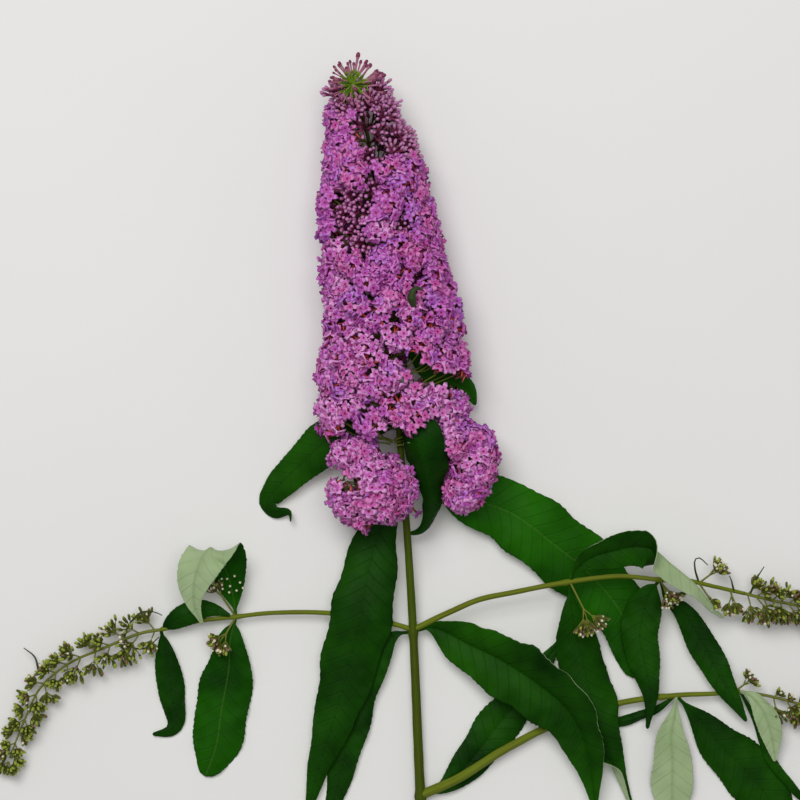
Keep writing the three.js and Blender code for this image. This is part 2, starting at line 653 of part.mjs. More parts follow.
function makeSideClusters() {
  const { direction, side } = frameAt(0);
  const foot = spikeFoot();
  const size = 400;
  const spikeRoom = new THREE.BoxGeometry(2 * spikeRoomHalf + CLEARANCE, size, size);
  spikeRoom.translate(0, size / 2 - CLEARANCE / 2, 0);
  spikeRoom.rotateZ(Math.atan2(-direction.x, direction.y)).translate(foot.x, foot.y, foot.z);
  return Object.entries(SIDE_CLUSTERS).map(([name, cluster]) => {
    const directions = [vec([1, 0, 0]), vec([0, 1, 0]), vec([0, 0, 1])];
    const lumps = cluster.lumps.map(({ centre, radii }) => lumpOf(vec(centre), radii, directions));
    const room = (heart) => {
      const fromFoot = heart.clone().sub(foot);
      const beside = Math.abs(fromFoot.dot(side)) > spikeRoomHalf;
      return (beside || fromFoot.dot(direction) < 0) && floorClear(heart, FLOWER.radius * 0.3);
    };
    const stalk = solid(limb({ route: cluster.stalk, thickness: [2.4, 2.4] }, { sides: 5, steps: 4 }));
    const mass = flowerMass(lumps, room).subtract(solid(spikeRoom.clone())).add(stalk);
    const body = largest(without(mass, [fatLimbs[0], ...leavesInFlowers, floorSlab()]));
    return named(name, geometryOf(body), COLOURS.flower, 0.7);
  });
}

// A bunch of buds that spread round a direction from one point.
function bunch(foot, direction, reach, count, random) {
  const across = new THREE.Vector3().crossVectors(direction, UP).normalize();
  const other = new THREE.Vector3().crossVectors(across, direction);
  return Array.from({ length: count }, (unused, index) => {
    const lean = 0.62 * Math.sqrt((index + 0.5) / count);
    const angle = GOLDEN_ANGLE * index + random() * 0.6;
    const aim = direction.clone().addScaledVector(across, lean * Math.cos(angle))
      .addScaledVector(other, lean * Math.sin(angle)).normalize();
    return club(foot, aim, reach * (0.8 + 0.3 * random()), BUD_RADIUS);
  });
}

// A bud panicle: its stem, with opposite bunches of buds that lean forward and get shorter.
function makeBudPanicles() {
  return Object.entries(BUD_PANICLES).map(([name, panicle]) => {
    const random = seededRandom(panicle.seed);
    const stem = solid(limb({ route: panicle.route, thickness: [1.8, 1.0] }, { sides: 5, steps: 11 }));
    const frames = framesAlong(panicle.route, panicle.levels);
    const bunches = frames.slice(1).flatMap(({ place, point, direction, side, top }, level) => {
      const foot = point.clone().addScaledVector(direction, -BUD_RADIUS);
      const turn = level % 2 ? 0.7 : -0.2;
      return [1, -1].flatMap((sign) => {
        const out = side.clone().multiplyScalar(sign * Math.cos(turn))
          .addScaledVector(top, Math.abs(Math.sin(turn)))
          .addScaledVector(direction, 0.6 + 0.4 * random()).normalize();
        return bunch(foot, out, along(panicle.reach, place), 3, random);
      });
    });
    const body = cutClear(joined([stem, ...bunches]), vec(panicle.route[0]));
    return named(name, geometryOf(body), COLOURS.bud, 0.7);
  });
}

function makeBudClusters() {
  return Object.entries(BUD_CLUSTERS).map(([name, cluster], number) => {
    const random = seededRandom(100 + number);
    const foot = vec(cluster.foot);
    const heart = vec(cluster.heart);
    const aim = heart.clone().sub(foot).normalize();
    const start = heart.clone().addScaledVector(aim, -cluster.reach * 0.6);
    const end = start.clone().addScaledVector(aim, 1.5);
    const route = [foot, foot.clone().lerp(end, 0.5), end].map((point) => point.toArray());
    const stalk = solid(limb({ route, thickness: [1.5, 1.5] }, { sides: 4, steps: 1 }));
    const body = joined([stalk, ...bunch(start, aim, cluster.reach, cluster.buds, random)]);
    return named(name, geometryOf(cutClear(body, foot)), COLOURS.bud, 0.7);
  });
}

// ---------------------------------------------------------------- the whole branch

const branch = new THREE.Group();
branch.add(...makeLimbs(), ...makeLeaves(), ...makeSpike(), makeSpikeTip());
branch.add(...makeSideClusters(), ...makeBudPanicles(), ...makeBudClusters());

const box = new THREE.Box3().setFromObject(branch, true);
const middle = box.getCenter(new THREE.Vector3());
branch.position.set(-middle.x, -middle.y, -box.min.z);

export default branch;
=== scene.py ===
"""A cut flowering branch of butterfly bush on a pale surface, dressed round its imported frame.

Lengths are in millimetres from the lower fork of the main stem, as in the part's source.
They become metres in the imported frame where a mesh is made.
"""

import json
import math
import random

import bpy
import numpy as np
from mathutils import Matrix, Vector
from mathutils.kdtree import KDTree


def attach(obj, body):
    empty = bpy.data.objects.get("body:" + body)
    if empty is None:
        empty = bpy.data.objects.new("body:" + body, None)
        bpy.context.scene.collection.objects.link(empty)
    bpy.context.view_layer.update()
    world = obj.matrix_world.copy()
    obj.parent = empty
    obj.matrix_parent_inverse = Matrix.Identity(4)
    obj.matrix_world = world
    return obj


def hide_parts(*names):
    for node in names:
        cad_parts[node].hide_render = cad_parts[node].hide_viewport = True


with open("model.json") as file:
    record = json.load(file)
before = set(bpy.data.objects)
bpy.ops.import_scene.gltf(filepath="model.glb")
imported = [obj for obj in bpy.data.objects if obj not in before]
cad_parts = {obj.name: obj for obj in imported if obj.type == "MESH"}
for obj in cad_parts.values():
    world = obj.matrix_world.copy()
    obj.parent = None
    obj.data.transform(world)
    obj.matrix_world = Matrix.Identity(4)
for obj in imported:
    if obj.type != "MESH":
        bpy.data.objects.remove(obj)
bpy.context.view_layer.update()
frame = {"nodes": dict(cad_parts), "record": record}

# ------------------------------------------------------------------ driving sizes

MM = 0.001
GOLDEN_ANGLE = math.pi * (3 - math.sqrt(5))
UP = np.array([0.0, 0.0, 1.0])

STEMS = {
    "main_stem": {
        "route": [(6, -125, 2.9), (4, -89, 5), (0, 1, 9), (-3, 51, 15), (-6, 90, 22), (-8, 117, 27),
                  (-10, 154, 31), (-15, 198, 31), (-20, 241, 27), (-25, 272, 25), (-31, 294, 26)],
        "thickness": (5.4, 1.7), "nodes": (0.083, 0.298, 0.51),
    },
    "shoot_left": {
        "route": [(0, 2, 9), (-10, 5, 9), (-45, 11, 9), (-79, 11, 8), (-97, 9, 8), (-115, 7, 8),
                  (-138, 2, 8)],
        "thickness": (2.6, 1.9), "nodes": (0.7, 0.985),
    },
    "shoot_upper_right": {
        "route": [(0, 2, 9), (20, 12, 13), (36, 19, 16), (54, 23, 18), (85, 29, 20), (112, 32, 20),
                  (134, 30, 19), (151, 29, 17), (164, 26, 14), (181, 22, 12)],
        "thickness": (3.0, 1.9), "nodes": (0.47, 0.74, 0.83),
    },
    "shoot_lower_right": {
        "route": [(4, -89, 5), (24, -80, 7), (48, -65, 7), (75, -51, 7), (110, -39, 7),
                  (144, -34, 8), (166, -33, 8), (179, -32, 8)],
        "thickness": (5.0, 2.0), "nodes": (0.77, 0.985),
    },
}

# Each leaf: the route of its midrib from the stem to the tip, its greatest width, and where
# along it that lies. droop lowers both half blades by so many degrees. left and right lower
# one of them and roll turns the whole blade, as (place along the leaf, degrees) pairs.
# Above 1, blunt draws its ends out finer, below 1 it fills them. wave ripples its edges.
WIDEST, DROOP, WAVE = 0.5, 8, 1.1    # where a leaf doesn't say
LEAVES = {
    "leaf_spike_left": {
        "route": [(-7, 112, 24), (-26, 114, 19), (-36, 113, 18), (-50, 103, 15), (-63, 91, 10),
                  (-76, 78, 6), (-80, 71, 4), (-76, 66, 4), (-68, 66, 6), (-67, 61, 8)],
        "width": 23, "widest": 0.38, "droop": 12,
    },
    "leaf_spike_front": {
        "route": [(-7, 108, 29), (-6, 107.5, 38), (-3, 109, 46), (0.8, 107.4, 50),
                  (3, 99, 48), (6.2, 90.3, 44), (8.4, 80, 38), (9, 71, 31), (7, 62.7, 24),
                  (2.6, 56, 18), (-3.4, 54.5, 15)],
        "width": 30, "widest": 0.33, "left": [(0, 5), (0.35, 8), (0.62, 45)], "right": [(0, 60)],
        "roll": [(0, 10), (0.6, 10), (1, 50)],
    },
    "leaf_spike_right": {
        "route": [(-6, 87, 21), (15, 84, 16), (38, 72, 12), (53, 66, 11), (64, 59, 11),
                  (75, 50, 9), (88, 40, 7), (97, 32, 6), (106, 22, 5), (115, 9, 4),
                  (120, -8, 3), (121, -25, 2.4)],
        "width": 38, "droop": 6, "blunt": 0.45,
    },
    "leaf_spike_small": {
        "route": [(-9, 161, 30), (4, 152, 25), (12, 144, 22), (22, 138, 19), (30, 133, 16),
                  (34, 125, 12)],
        "width": 17,
    },
    "leaf_long_left": {
        "route": [(-6, 85, 21), (-13, 70, 13), (-18, 57, 12), (-23, 40, 14), (-27.5, 13, 17),
                  (-34, -14, 13), (-43.5, -48, 10), (-52, -75, 7), (-60, -108, 3)],
        "width": 34, "widest": 0.38, "droop": 10, "wave": 2.2, "blunt": 1.2,
    },
    "leaf_fork_left": {
        "route": [(0, 1, 9), (-10, -1, 9), (-18, -12, 7), (-28.5, -31, 5), (-34.5, -53, 3.6),
                  (-39.5, -75, 2.6), (-43.5, -92, 2), (-50, -113, 1.6)],
        "width": 20, "widest": 0.42, "left": [(0, 4)],
    },
    "leaf_fork_right": {
        "route": [(0, 1, 9), (11, 3, 10), (31, -6, 15), (48, -14, 18.5), (68, -27, 20),
                  (83, -40, 19), (92, -56, 16), (97, -76, 13), (100, -98, 9)],
        "width": 38, "widest": 0.4, "left": [(0, -24), (0.5, -30)], "right": [(0, -6)],
    },
    "leaf_foot_right": {
        "route": [(4, -89, 5), (18, -84, 4), (33, -69, 3), (45, -53, 2.4), (58, -37, 2.2),
                  (70, -20, 2.2), (82, -3, 2.2)],
        "width": 23, "widest": 0.45, "droop": 3,
    },
    "leaf_left_folded": {
        "route": [(-97, 9, 8), (-98, 19, 11), (-100.5, 31, 15), (-104.5, 42, 20),
                  (-107.5, 46.5, 26), (-110, 47.5, 31), (-114.5, 41, 33.5), (-118, 30, 31),
                  (-118.5, 18, 26), (-114.5, 6, 20)],
        "width": 27.5, "widest": 0.42, "left": [(0, 8), (0.4, 8), (0.52, -52), (0.7, 0)],
        "blunt": 1.25, "roll": [(0, 0), (0.38, 0), (0.56, -80), (1, -90)],
    },
    "leaf_left_down": {
        "route": [(-97, 9, 8), (-100, -4, 8), (-101, -20, 6), (-105, -42, 4.6), (-108, -62, 4),
                  (-114, -79, 2.4)],
        "width": 30, "widest": 0.55, "droop": 9, "blunt": 0.45,
    },
    "leaf_left_curled": {
        "route": [(-138, 2, 8), (-132, 6, 10.5), (-124, 10.5, 12.5), (-116, 13, 12),
                  (-109, 13, 10.5), (-100, 10, 10.5)],
        "width": 13, "widest": 0.38, "droop": 20,
    },
    "leaf_left_narrow": {
        "route": [(-138, 2, 8), (-136, -9, 6.6), (-134, -23, 5), (-132, -37, 4), (-130, -49, 3),
                  (-133, -54, 2.8), (-143, -56, 2)],
        "width": 15, "widest": 0.42, "droop": 12,
    },
    "leaf_right_folded": {
        "route": [(85, 29, 20), (89, 36.5, 23), (97, 42.5, 26), (108, 46, 29), (119, 48.5, 32),
                  (128, 47.5, 33), (138, 39.5, 32), (152, 28, 28), (161, 17.5, 22), (169, 9, 14)],
        "width": 23, "widest": 0.42, "left": [(0, -10), (0.42, -20), (0.54, -125), (1, -125)],
        "right": [(0, -14), (0.45, 0), (0.6, 60), (1, 60)],
    },
    "leaf_right_down": {
        "route": [(85, 29, 20), (86, 15, 18), (89, -1, 14), (93, -17, 12.4), (98, -39, 11.4),
                  (104, -61, 9), (114, -84, 5), (123, -104, 3)],
        "width": 29, "widest": 0.38, "left": [(0, 35), (0.35, 35), (0.6, 5)],
        "right": [(0, 8), (0.62, 8), (0.78, -122)], "blunt": 1.3,
    },
    "leaf_right_notched": {
        "route": [(134, 30, 19), (129, 23, 16), (125, 10, 14), (123.5, -3, 13), (127, -20, 12.6),
                  (129.5, -33, 12), (128, -52, 10)],
        "width": 21, "widest": 0.32, "left": [(0, 6)], "right": [(0, 12)], "blunt": 1.2,
    },
    "leaf_right_long": {
        "route": [(134, 30, 19), (138, 21, 15), (147, 12, 12), (157, -4, 11), (166, -21, 12),
                  (175, -36, 12), (182, -48, 10)],
        "width": 16,
    },
    "leaf_low_silver": {
        "route": [(144, -34, 8), (143, -43, 9), (141, -56, 8), (142, -70, 6), (142, -86, 4),
                  (143, -113, 2.4)],
        "width": 23, "widest": 0.52, "roll": [(0, 180)],
    },
    "leaf_low_dark": {
        "route": [(144, -34, 8), (157, -48, 5), (169, -62, 4), (182, -75, 3.4), (196, -92, 2.6),
                  (213, -120, 2)],
        "width": 29, "droop": 6,
    },
    "leaf_low_pale": {
        "route": [(179, -32, 8), (185, -34, 13), (191, -42, 14), (195, -54, 12), (198, -70, 8)],
        "width": 13, "droop": 10, "roll": [(0, 180), (1, 160)],
    },
    "leaf_low_narrow": {
        "route": [(179, -32, 8), (186, -44, 6), (192, -59, 6), (199, -74, 6.4), (212, -89, 6),
                  (225, -99, 4.4)],
        "width": 7, "droop": 40,
    },
    "leaf_low_edge": {
        "route": [(144, -34, 8), (135, -41, 6.4), (124, -46, 5), (110, -50, 4), (96, -53, 3)],
        "width": 7, "droop": 40,
    },
}
# These leaves take a brighter copy of the upper face's greens.
BRIGHTER_LEAVES = ("leaf_left_down", "leaf_left_folded", "leaf_spike_right")
LEAVES_IN_FLOWERS = ("leaf_spike_left", "leaf_spike_front", "leaf_spike_right",
                     "leaf_spike_small", "leaf_long_left")

SPIKE = {
    "axis": [(-11, 112, 29), (-11, 128, 29), (-10, 154, 31), (-13, 181, 31.5), (-18, 208, 30),
             (-20.5, 235, 28), (-24, 265, 25.5), (-33, 300, 27)],
    "half_widths": (38, 41, 38, 35, 31.5, 28.5, 22, 15),
    "half_heights": (27.5, 28, 29.5, 29.5, 28, 26, 23, 16),
    "first": 0.02, "last": 0.92, "pairs": 19, "cymes_a_side": 5,
}
FLOWERS_A_CYME = 16
CYME_REACH = 8.8          # from the heart of a cyme to the faces of its flowers
CYME_SPREAD = 1.25        # how far its flowers lean out from its middle, in radians
CYME_FLATNESS = 0.3       # how far its outer flowers come up to the level of its middle ones
FLOOR_CLEARANCE = 2.6     # a flower's face stays this far above the surface
SPIKE_END_AIM = np.array([-0.2, 0.96, 0.2])    # the way the long buds lean at the spike's end

# The two clusters below the spike: the stalk of each, and the middles and radii of its lumps.
SIDE_CLUSTERS = [
    ([(-6.5, 90, 22), (-12, 89, 27), (-23, 83, 34)],
     [((-22.5, 79.5, 35), (23, 21.5, 20)), ((-30, 97, 35), (15, 12, 14))]),
    ([(-6.5, 90, 22), (8, 92, 26), (28, 94, 30)],
     [((21, 106, 33), (16, 13, 14)), ((32.5, 95, 30), (12.5, 20, 14)),
      ((26, 79, 27), (12, 11, 11))]),
]

# Round places seen from above, as x, y and radius: where the spike can be seen through, and
# where its flowers are still round buds or long ones.
GAPS_IN_SPIKE = [(-23, 279, 2.5), (-27, 273, 3), (-22.5, 267, 3), (-18, 261, 2.5), (1, 147, 3),
                 (6, 142.5, 3.5), (12, 139.5, 2.5), (19, 138.5, 2.5), (26, 137, 2.5), (33, 131, 2.5),
                 (-14, 103, 4), (-42, 89, 2), (-36, 83, 2.5)]
BUDS_IN_SPIKE = [(-31, 226, 9), (-34, 236, 7), (-26, 214, 8), (-23, 239, 5), (-12.5, 225, 4.5),
                 (-1, 219, 4), (-19, 256, 5.5), (-16, 246, 4)]
LONG_BUDS_IN_SPIKE = [(-10, 265, 11), (-17, 279, 13), (-30, 292, 12), (-41, 268, 6), (-47, 238, 5)]
# Cymes of long buds that close the spike's end, each with its heart and the way it faces.
END_CYMES = [((-20, 293, 32), (0.8, 0.35, 0.45)), ((-16, 284, 33), (0.75, 0.1, 0.6)),
             ((-40, 291, 30), (-0.8, 0.3, 0.3)), ((-25, 291, 22), (0.6, 0.8, -0.1)),
             ((-37, 291, 20), (-0.5, 0.8, -0.2)), ((-31, 289, 16), (0, 0.8, -0.6)),
             ((-30, 292, 28), (0, 1, 0.2))]
SEEN_AT = 35              # those places are measured at this height
VIEW_MIDDLE = np.array([-7.15, 127.6])
VIEW_HEIGHT = 1467        # of the camera above the surface

# Single flowers that hang beside the spike, each with the point that its stalk comes from.
STRAY_FLOWERS = [((-1.5, 90, 41), (-9, 84, 34)), ((0, 84, 41), (-9, 82, 33)),
                 ((1, 77, 40), (-9, 80, 32)), ((-3, 72, 36), (-12, 77, 32)),
                 ((-5, 79, 42), (-12, 80, 34)), ((2.5, 66, 22), (-6, 74, 28)),
                 ((-46, 136, 22), (-36, 134, 28)), ((-53, 122, 20), (-41, 124, 28)),
                 ((-52, 112, 18), (-38, 118, 28)), ((29, 122, 24), (20, 126, 30))]

# Panicles of unopened buds. reach is how far their buds stand out at the foot and at the end,
# upper shortens the ones on the upper side, from is where the first ones grow, and kinds is
# how often each kind of bud comes.
PANICLES = [
    {"route": [(-138, 2, 8), (-149, 0, 8), (-169, -8, 8), (-189, -17, 7.4), (-204, -30, 7),
               (-212, -46, 6.6), (-221, -69, 6.2), (-224, -80, 6)],
     "pairs": 15, "reach": (16, 8), "upper": 1.0, "from": 0.03, "seed": 7, "kinds": (6, 5, 1, 1)},
    {"route": [(181, 22, 12), (197, 18, 11), (211, 15, 10), (233, 7, 9), (250, -3, 8.4),
               (262, -16, 8)],
     "pairs": 20, "reach": (16, 9), "upper": 0.75, "from": 0.02, "seed": 11, "kinds": (5, 5, 4, 1)},
    {"route": [(179, -32, 8), (193, -34, 8), (212, -39, 8), (234, -49, 8), (250, -60, 8),
               (262, -73, 7.6)],
     "pairs": 12, "reach": (15, 9), "upper": 0.4, "from": 0.2, "seed": 23, "kinds": (5, 5, 4, 1)},
]

# Clusters of buds in the leaf pairs: foot, heart, how far they reach, and how many buds.
BUD_CLUSTERS = [
    ((-97, 9, 8), (-105, -5, 15), 11, 54), ((-97, 9, 8), (-107, 25, 16), 8, 26),
    ((85, 29, 20), (96, 7, 23), 14, 66), ((134, 30, 19), (139, 21, 22), 12, 60),
    ((155.5, 28, 16), (166, 36, 17), 10, 42), ((155.5, 28, 16), (163, 17, 17), 9, 18),
    ((175.5, -32.3, 8), (184, -25, 12), 8, 15), ((173, 24, 13), (175, 15, 13), 10, 40),
]

# Thin bracts at the nodes of the panicles, each by its route.
BRACTS = [
    [(-158, -2, 8), (-155, 5, 12), (-148, 12, 14), (-141, 12, 13), (-137, 10, 11)],
    [(-158, -3, 8), (-153, -8, 8), (-146, -8, 8), (-139, -2, 8)],
    [(155.5, 28, 16), (153, 36, 19), (153, 41, 20), (155, 42, 20), (160, 38, 19)],
    [(175, 23, 13), (173, 30, 15), (172, 32, 16)],
    [(184, 22, 12), (187, 30, 14), (191, 37, 16)],
    [(-205, -20, 8), (-207, -13, 8), (-213, -8, 8)],
]

# A small curled leaf among the flowers.
LEAFLET = [(0.3, 174.5, 57), (-0.6, 179, 61), (-0.9, 183, 63), (0.6, 186, 63.5), (3, 186.4, 62.5),
           (5.4, 185, 60.5)]

# How thick each kind of stalk is at its foot and at its end.
THICKNESS = {
    "cyme": (1.0, 0.7), "stray": (0.8, 0.7), "cluster": (2.2, 1.6), "tip": (2.0, 1.4),
    "star": (1.0, 0.8), "panicle": (1.8, 0.9), "bud cluster": (1.2, 1.0), "sprig": (0.9, 0.7),
    "bud": (0.55, 0.45), "bract": (1.3, 0.5), "leaflet foot": (1.2, 4.8), "leaflet end": (4.8, 0.6),
}

# Round pale buds that lie on the foot of the folded leaf.
LOOSE_BUDS = [(-103.5, 25, 18), (-101, 30.5, 19), (-97, 32, 19), (-94, 28.5, 19), (-99.5, 26.5, 18),
              (-96, 24, 17), (-92.5, 25.5, 18), (-100, 23, 17), (-104, 30.5, 19)]

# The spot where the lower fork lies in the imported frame, from the mount on the cut end.
CUT_END = frame["record"]["mounts"][0]["pos_m"]
SHIFT = np.array(CUT_END) / MM - np.array(STEMS["main_stem"]["route"][0])


def in_frame(points):
    """Points in millimetres from the fork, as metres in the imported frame."""
    return (np.asarray(points, float) + SHIFT) * MM


UV_LENGTH = 250.0         # millimetres along a leaf or stem for the whole of its map's first axis
UV_WIDTH = 100.0          # and across a leaf for the second
VEIN_SPACING = 7.5        # between a leaf's side veins
VEIN_SLANT = 1.1          # how far they run towards the tip on their way out,
VEIN_BOW = 0.85           # and how they bow

# ------------------------------------------------------------------ curves and directions

def unit(vectors):
    vectors = np.asarray(vectors, float)
    return vectors / np.linalg.norm(vectors, axis=-1, keepdims=True)


def floats(values):
    return np.array(values, float)


def smooth_route(route, count):
    """Points at even steps along the smooth curve through a route, their directions, and
    the curve's length. The curve is a centripetal Catmull-Rom spline, as in the source."""
    points = floats(route)
    padded = np.vstack([2 * points[0] - points[1], points, 2 * points[-1] - points[-2]])
    steps = np.linspace(0, 1, 24, endpoint=False)[:, None]
    pieces = []
    for a, b, c, d in zip(padded, padded[1:], padded[2:], padded[3:]):
        before, here, after = (math.sqrt(np.linalg.norm(q - p)) for p, q in ((a, b), (b, c), (c, d)))
        start = ((b - a) / before - (c - a) / (before + here) + (c - b) / here) * here
        end = ((c - b) / here - (d - b) / (here + after) + (d - c) / after) * here
        pieces.append(b + start * steps + (3 * (c - b) - 2 * start - end) * steps ** 2
                      + (2 * (b - c) + start + end) * steps ** 3)
    fine = np.vstack(pieces + [points[-1:]])
    reached = np.concatenate([[0], np.cumsum(np.linalg.norm(np.diff(fine, axis=0), axis=1))])
    wanted = np.linspace(0, reached[-1], count)
    spots = np.stack([np.interp(wanted, reached, fine[:, axis]) for axis in range(3)], axis=1)
    return spots, unit(np.gradient(spots, axis=0)), reached[-1]


def frames_along(route, count):
    """Points, directions, sides and tops along a route. The side is level at the start and
    then turns as little as it can."""
    spots, directions, length = smooth_route(route, count)
    side = np.cross(UP, directions[0])
    sides = []
    for direction in directions:
        side = unit(side - direction * side.dot(direction))
        sides.append(side)
    sides = np.array(sides)
    return spots, directions, sides, np.cross(directions, sides), length


def along(values, place):
    """The value at a place from 0 to 1 along evenly spaced numbers."""
    return np.interp(place, np.linspace(0, 1, len(values)), values)


def eased(pairs, place):
    """The value at a place along (place, value) pairs, eased between them."""
    for (start, before), (end, after) in zip(pairs, pairs[1:]):
        if start <= place < end:
            share = (place - start) / (end - start)
            return before + (after - before) * share * share * (3 - 2 * share)
    return pairs[-1][1] if place >= pairs[-1][0] else pairs[0][1]


def bunch_directions(middle, count, spread, rng):
    """Directions in a round bunch about a middle one, set out by the golden angle."""
    across = unit(np.cross(middle, UP + 0.01 * np.ones(3)))
    other = np.cross(middle, across)
    start = rng.uniform(0, 2 * math.pi)
    out = []
    for index in range(count):
        lean = spread * math.sqrt((index + 0.5) / count)
        angle = start + GOLDEN_ANGLE * index + rng.uniform(-0.25, 0.25)
        sideways = across * math.cos(angle) + other * math.sin(angle)
        out.append(middle * math.cos(lean) + sideways * math.sin(lean))
    return out


def jittered(direction, amount, rng):
    return unit(direction + amount * np.array([rng.uniform(-1, 1) for _ in range(3)]))


# ------------------------------------------------------------------ meshes

def show(name, mesh):
    piece = bpy.data.objects.new(name, mesh)
    bpy.context.scene.collection.objects.link(piece)
    return piece


def mesh_of(name, points, faces, finishes=(), slots=None):
    """A smooth shaded mesh from points that are already in metres."""
    mesh = bpy.data.meshes.new(name)
    mesh.from_pydata(np.asarray(points).tolist(), [], faces)
    for finish in finishes:
        mesh.materials.append(finish)
    if slots is not None:
        mesh.polygons.foreach_set("material_index", np.asarray(slots, dtype=np.int32))
    mesh.polygons.foreach_set("use_smooth", np.full(len(faces), True))
    mesh.update()
    return mesh


def loose_points(name, points, edges=()):
    """A mesh of points in millimetres and the edges between them, with no faces."""
    mesh = bpy.data.meshes.new(name)
    mesh.from_pydata(in_frame(points).tolist(), edges, [])
    return mesh


def add_attribute(mesh, name, kind, domain, values):
    attribute = mesh.attributes.new(name, kind, domain)
    field = "vector" if kind == "FLOAT_VECTOR" else "value"
    attribute.data.foreach_set(field, np.asarray(values).ravel())


def add_map(mesh, name, places):
    """A UV map from the place of each of the mesh's points on it."""
    layer = mesh.uv_layers.new(name=name)
    corners = np.empty(len(mesh.loops), dtype=np.int32)
    mesh.loops.foreach_get("vertex_index", corners)
    layer.uv.foreach_set("vector", np.asarray(places)[corners].ravel())


def grid_faces(rows, columns, start=0, closed=False):
    """Quads over rows of points. In closed rows the last point is joined to the first."""
    faces = []
    for here in range(start, start + (rows - 1) * columns, columns):
        for column in range(columns if closed else columns - 1):
            after = (column + 1) % columns
            faces.append([here + column, here + after, here + columns + after,
                          here + columns + column])
    return faces


def ring_of(radius, height, sides):
    """A level ring of points round the vertical axis."""
    angles = (2 * math.pi * side / sides for side in range(sides))
    return [(radius * math.cos(angle), radius * math.sin(angle), height) for angle in angles]


def finish_piece(piece, nodes=()):
    """Says what a piece rides on, which nodes it replaces."""
    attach(piece, "root")
    if nodes:
        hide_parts(*nodes)


# ------------------------------------------------------------------ node trees

def wired(tree, kind, inputs=None, **settings):
    """A new node with its settings, its inputs each wired to a socket or given a value."""
    made = tree.nodes.new(kind)
    for setting, value in settings.items():
        setattr(made, setting, value)
    for key, value in (inputs or {}).items():
        if isinstance(value, bpy.types.NodeSocket):
            tree.links.new(value, made.inputs[key])
        else:
            made.inputs[key].default_value = value
    return made


def result_of(tree, kind, inputs=None, **settings):
    """The first output of a new node."""
    return wired(tree, kind, inputs, **settings).outputs[0]


def maths(tree, operation, first, second=0.0):
    return result_of(tree, "ShaderNodeMath", {0: first, 1: second}, operation=operation)


def new_tree(name, kind, inputs, outputs):
    """An empty node group with named inputs and outputs. An input is (name, type, value)."""
    tree = bpy.data.node_groups.new(name, kind)
    for socket_name, socket_type, value in inputs:
        socket = tree.interface.new_socket(socket_name, in_out="INPUT", socket_type=socket_type)
        if value is not None:
            socket.default_value = value
    for socket_name, socket_type in outputs:
        tree.interface.new_socket(socket_name, in_out="OUTPUT", socket_type=socket_type)
    return tree, tree.nodes.new("NodeGroupInput"), tree.nodes.new("NodeGroupOutput")


def attribute_of(tree, name, data_type="FLOAT"):
    return result_of(tree, "GeometryNodeInputNamedAttribute", {"Name": name}, data_type=data_type)


ZONES = ("First Finish", "Second Finish", "Third Finish", "Fourth Finish", "Fifth Finish")


def scatter_tree():
    """Sets a shape on every marker point, turned and sized as the marker says, ruffles its
    loose edges, and gives each zone of it a finish."""
    inputs = [("Markers", "NodeSocketGeometry", None), ("Shape", "NodeSocketObject", None),
              ("Ruffle", "NodeSocketFloat", 0.0), ("Ruffle Size", "NodeSocketFloat", 600.0),
              ("Seed", "NodeSocketInt", 1)]
    inputs += [(zone, "NodeSocketMaterial", None) for zone in ZONES]
    tree, given, result = new_tree("scatter_on_markers", "GeometryNodeTree", inputs,
                                   [("Geometry", "NodeSocketGeometry")])
    faced = result_of(tree, "FunctionNodeAlignRotationToVector",
                      {"Vector": attribute_of(tree, "aim", "FLOAT_VECTOR")}, axis="Z")
    spun = result_of(tree, "FunctionNodeAxisAngleToRotation",
                     {"Axis": (0, 0, 1), "Angle": attribute_of(tree, "spin")})
    turned = result_of(tree, "FunctionNodeRotateRotation", {"Rotation": faced, "Rotate By": spun},
                       rotation_space="LOCAL")
    shape = wired(tree, "GeometryNodeObjectInfo", {"Object": given.outputs["Shape"]})
    placed = result_of(tree, "GeometryNodeInstanceOnPoints", {
        "Points": given.outputs["Markers"], "Instance": shape.outputs["Geometry"],
        "Rotation": turned, "Scale": attribute_of(tree, "size")})
    whole = result_of(tree, "GeometryNodeRealizeInstances", {"Geometry": placed})
    place = result_of(tree, "GeometryNodeInputPosition")
    noise = wired(tree, "ShaderNodeTexNoise", {
        "Vector": place, "W": given.outputs["Seed"], "Scale": given.outputs["Ruffle Size"],
        "Detail": 1.0}, noise_dimensions="4D")
    centred = result_of(tree, "ShaderNodeVectorMath",
                        {0: noise.outputs["Color"], 1: (0.5, 0.5, 0.5)}, operation="SUBTRACT")
    strength = maths(tree, "MULTIPLY", attribute_of(tree, "loose"), given.outputs["Ruffle"])
    offset = result_of(tree, "ShaderNodeVectorMath", {0: centred, "Scale": strength},
                       operation="SCALE")
    geometry = result_of(tree, "GeometryNodeSetPosition", {"Geometry": whole, "Offset": offset})
    zone = attribute_of(tree, "zone", "INT")
    for number, zone_name in enumerate(ZONES):
        chosen = result_of(tree, "FunctionNodeCompare", {2: zone, 3: number}, data_type="INT",
                           operation="EQUAL")
        geometry = result_of(tree, "GeometryNodeSetMaterial", {
            "Geometry": geometry, "Selection": chosen, "Material": given.outputs[zone_name]})
    tree.links.new(geometry, result.inputs[0])
    return tree


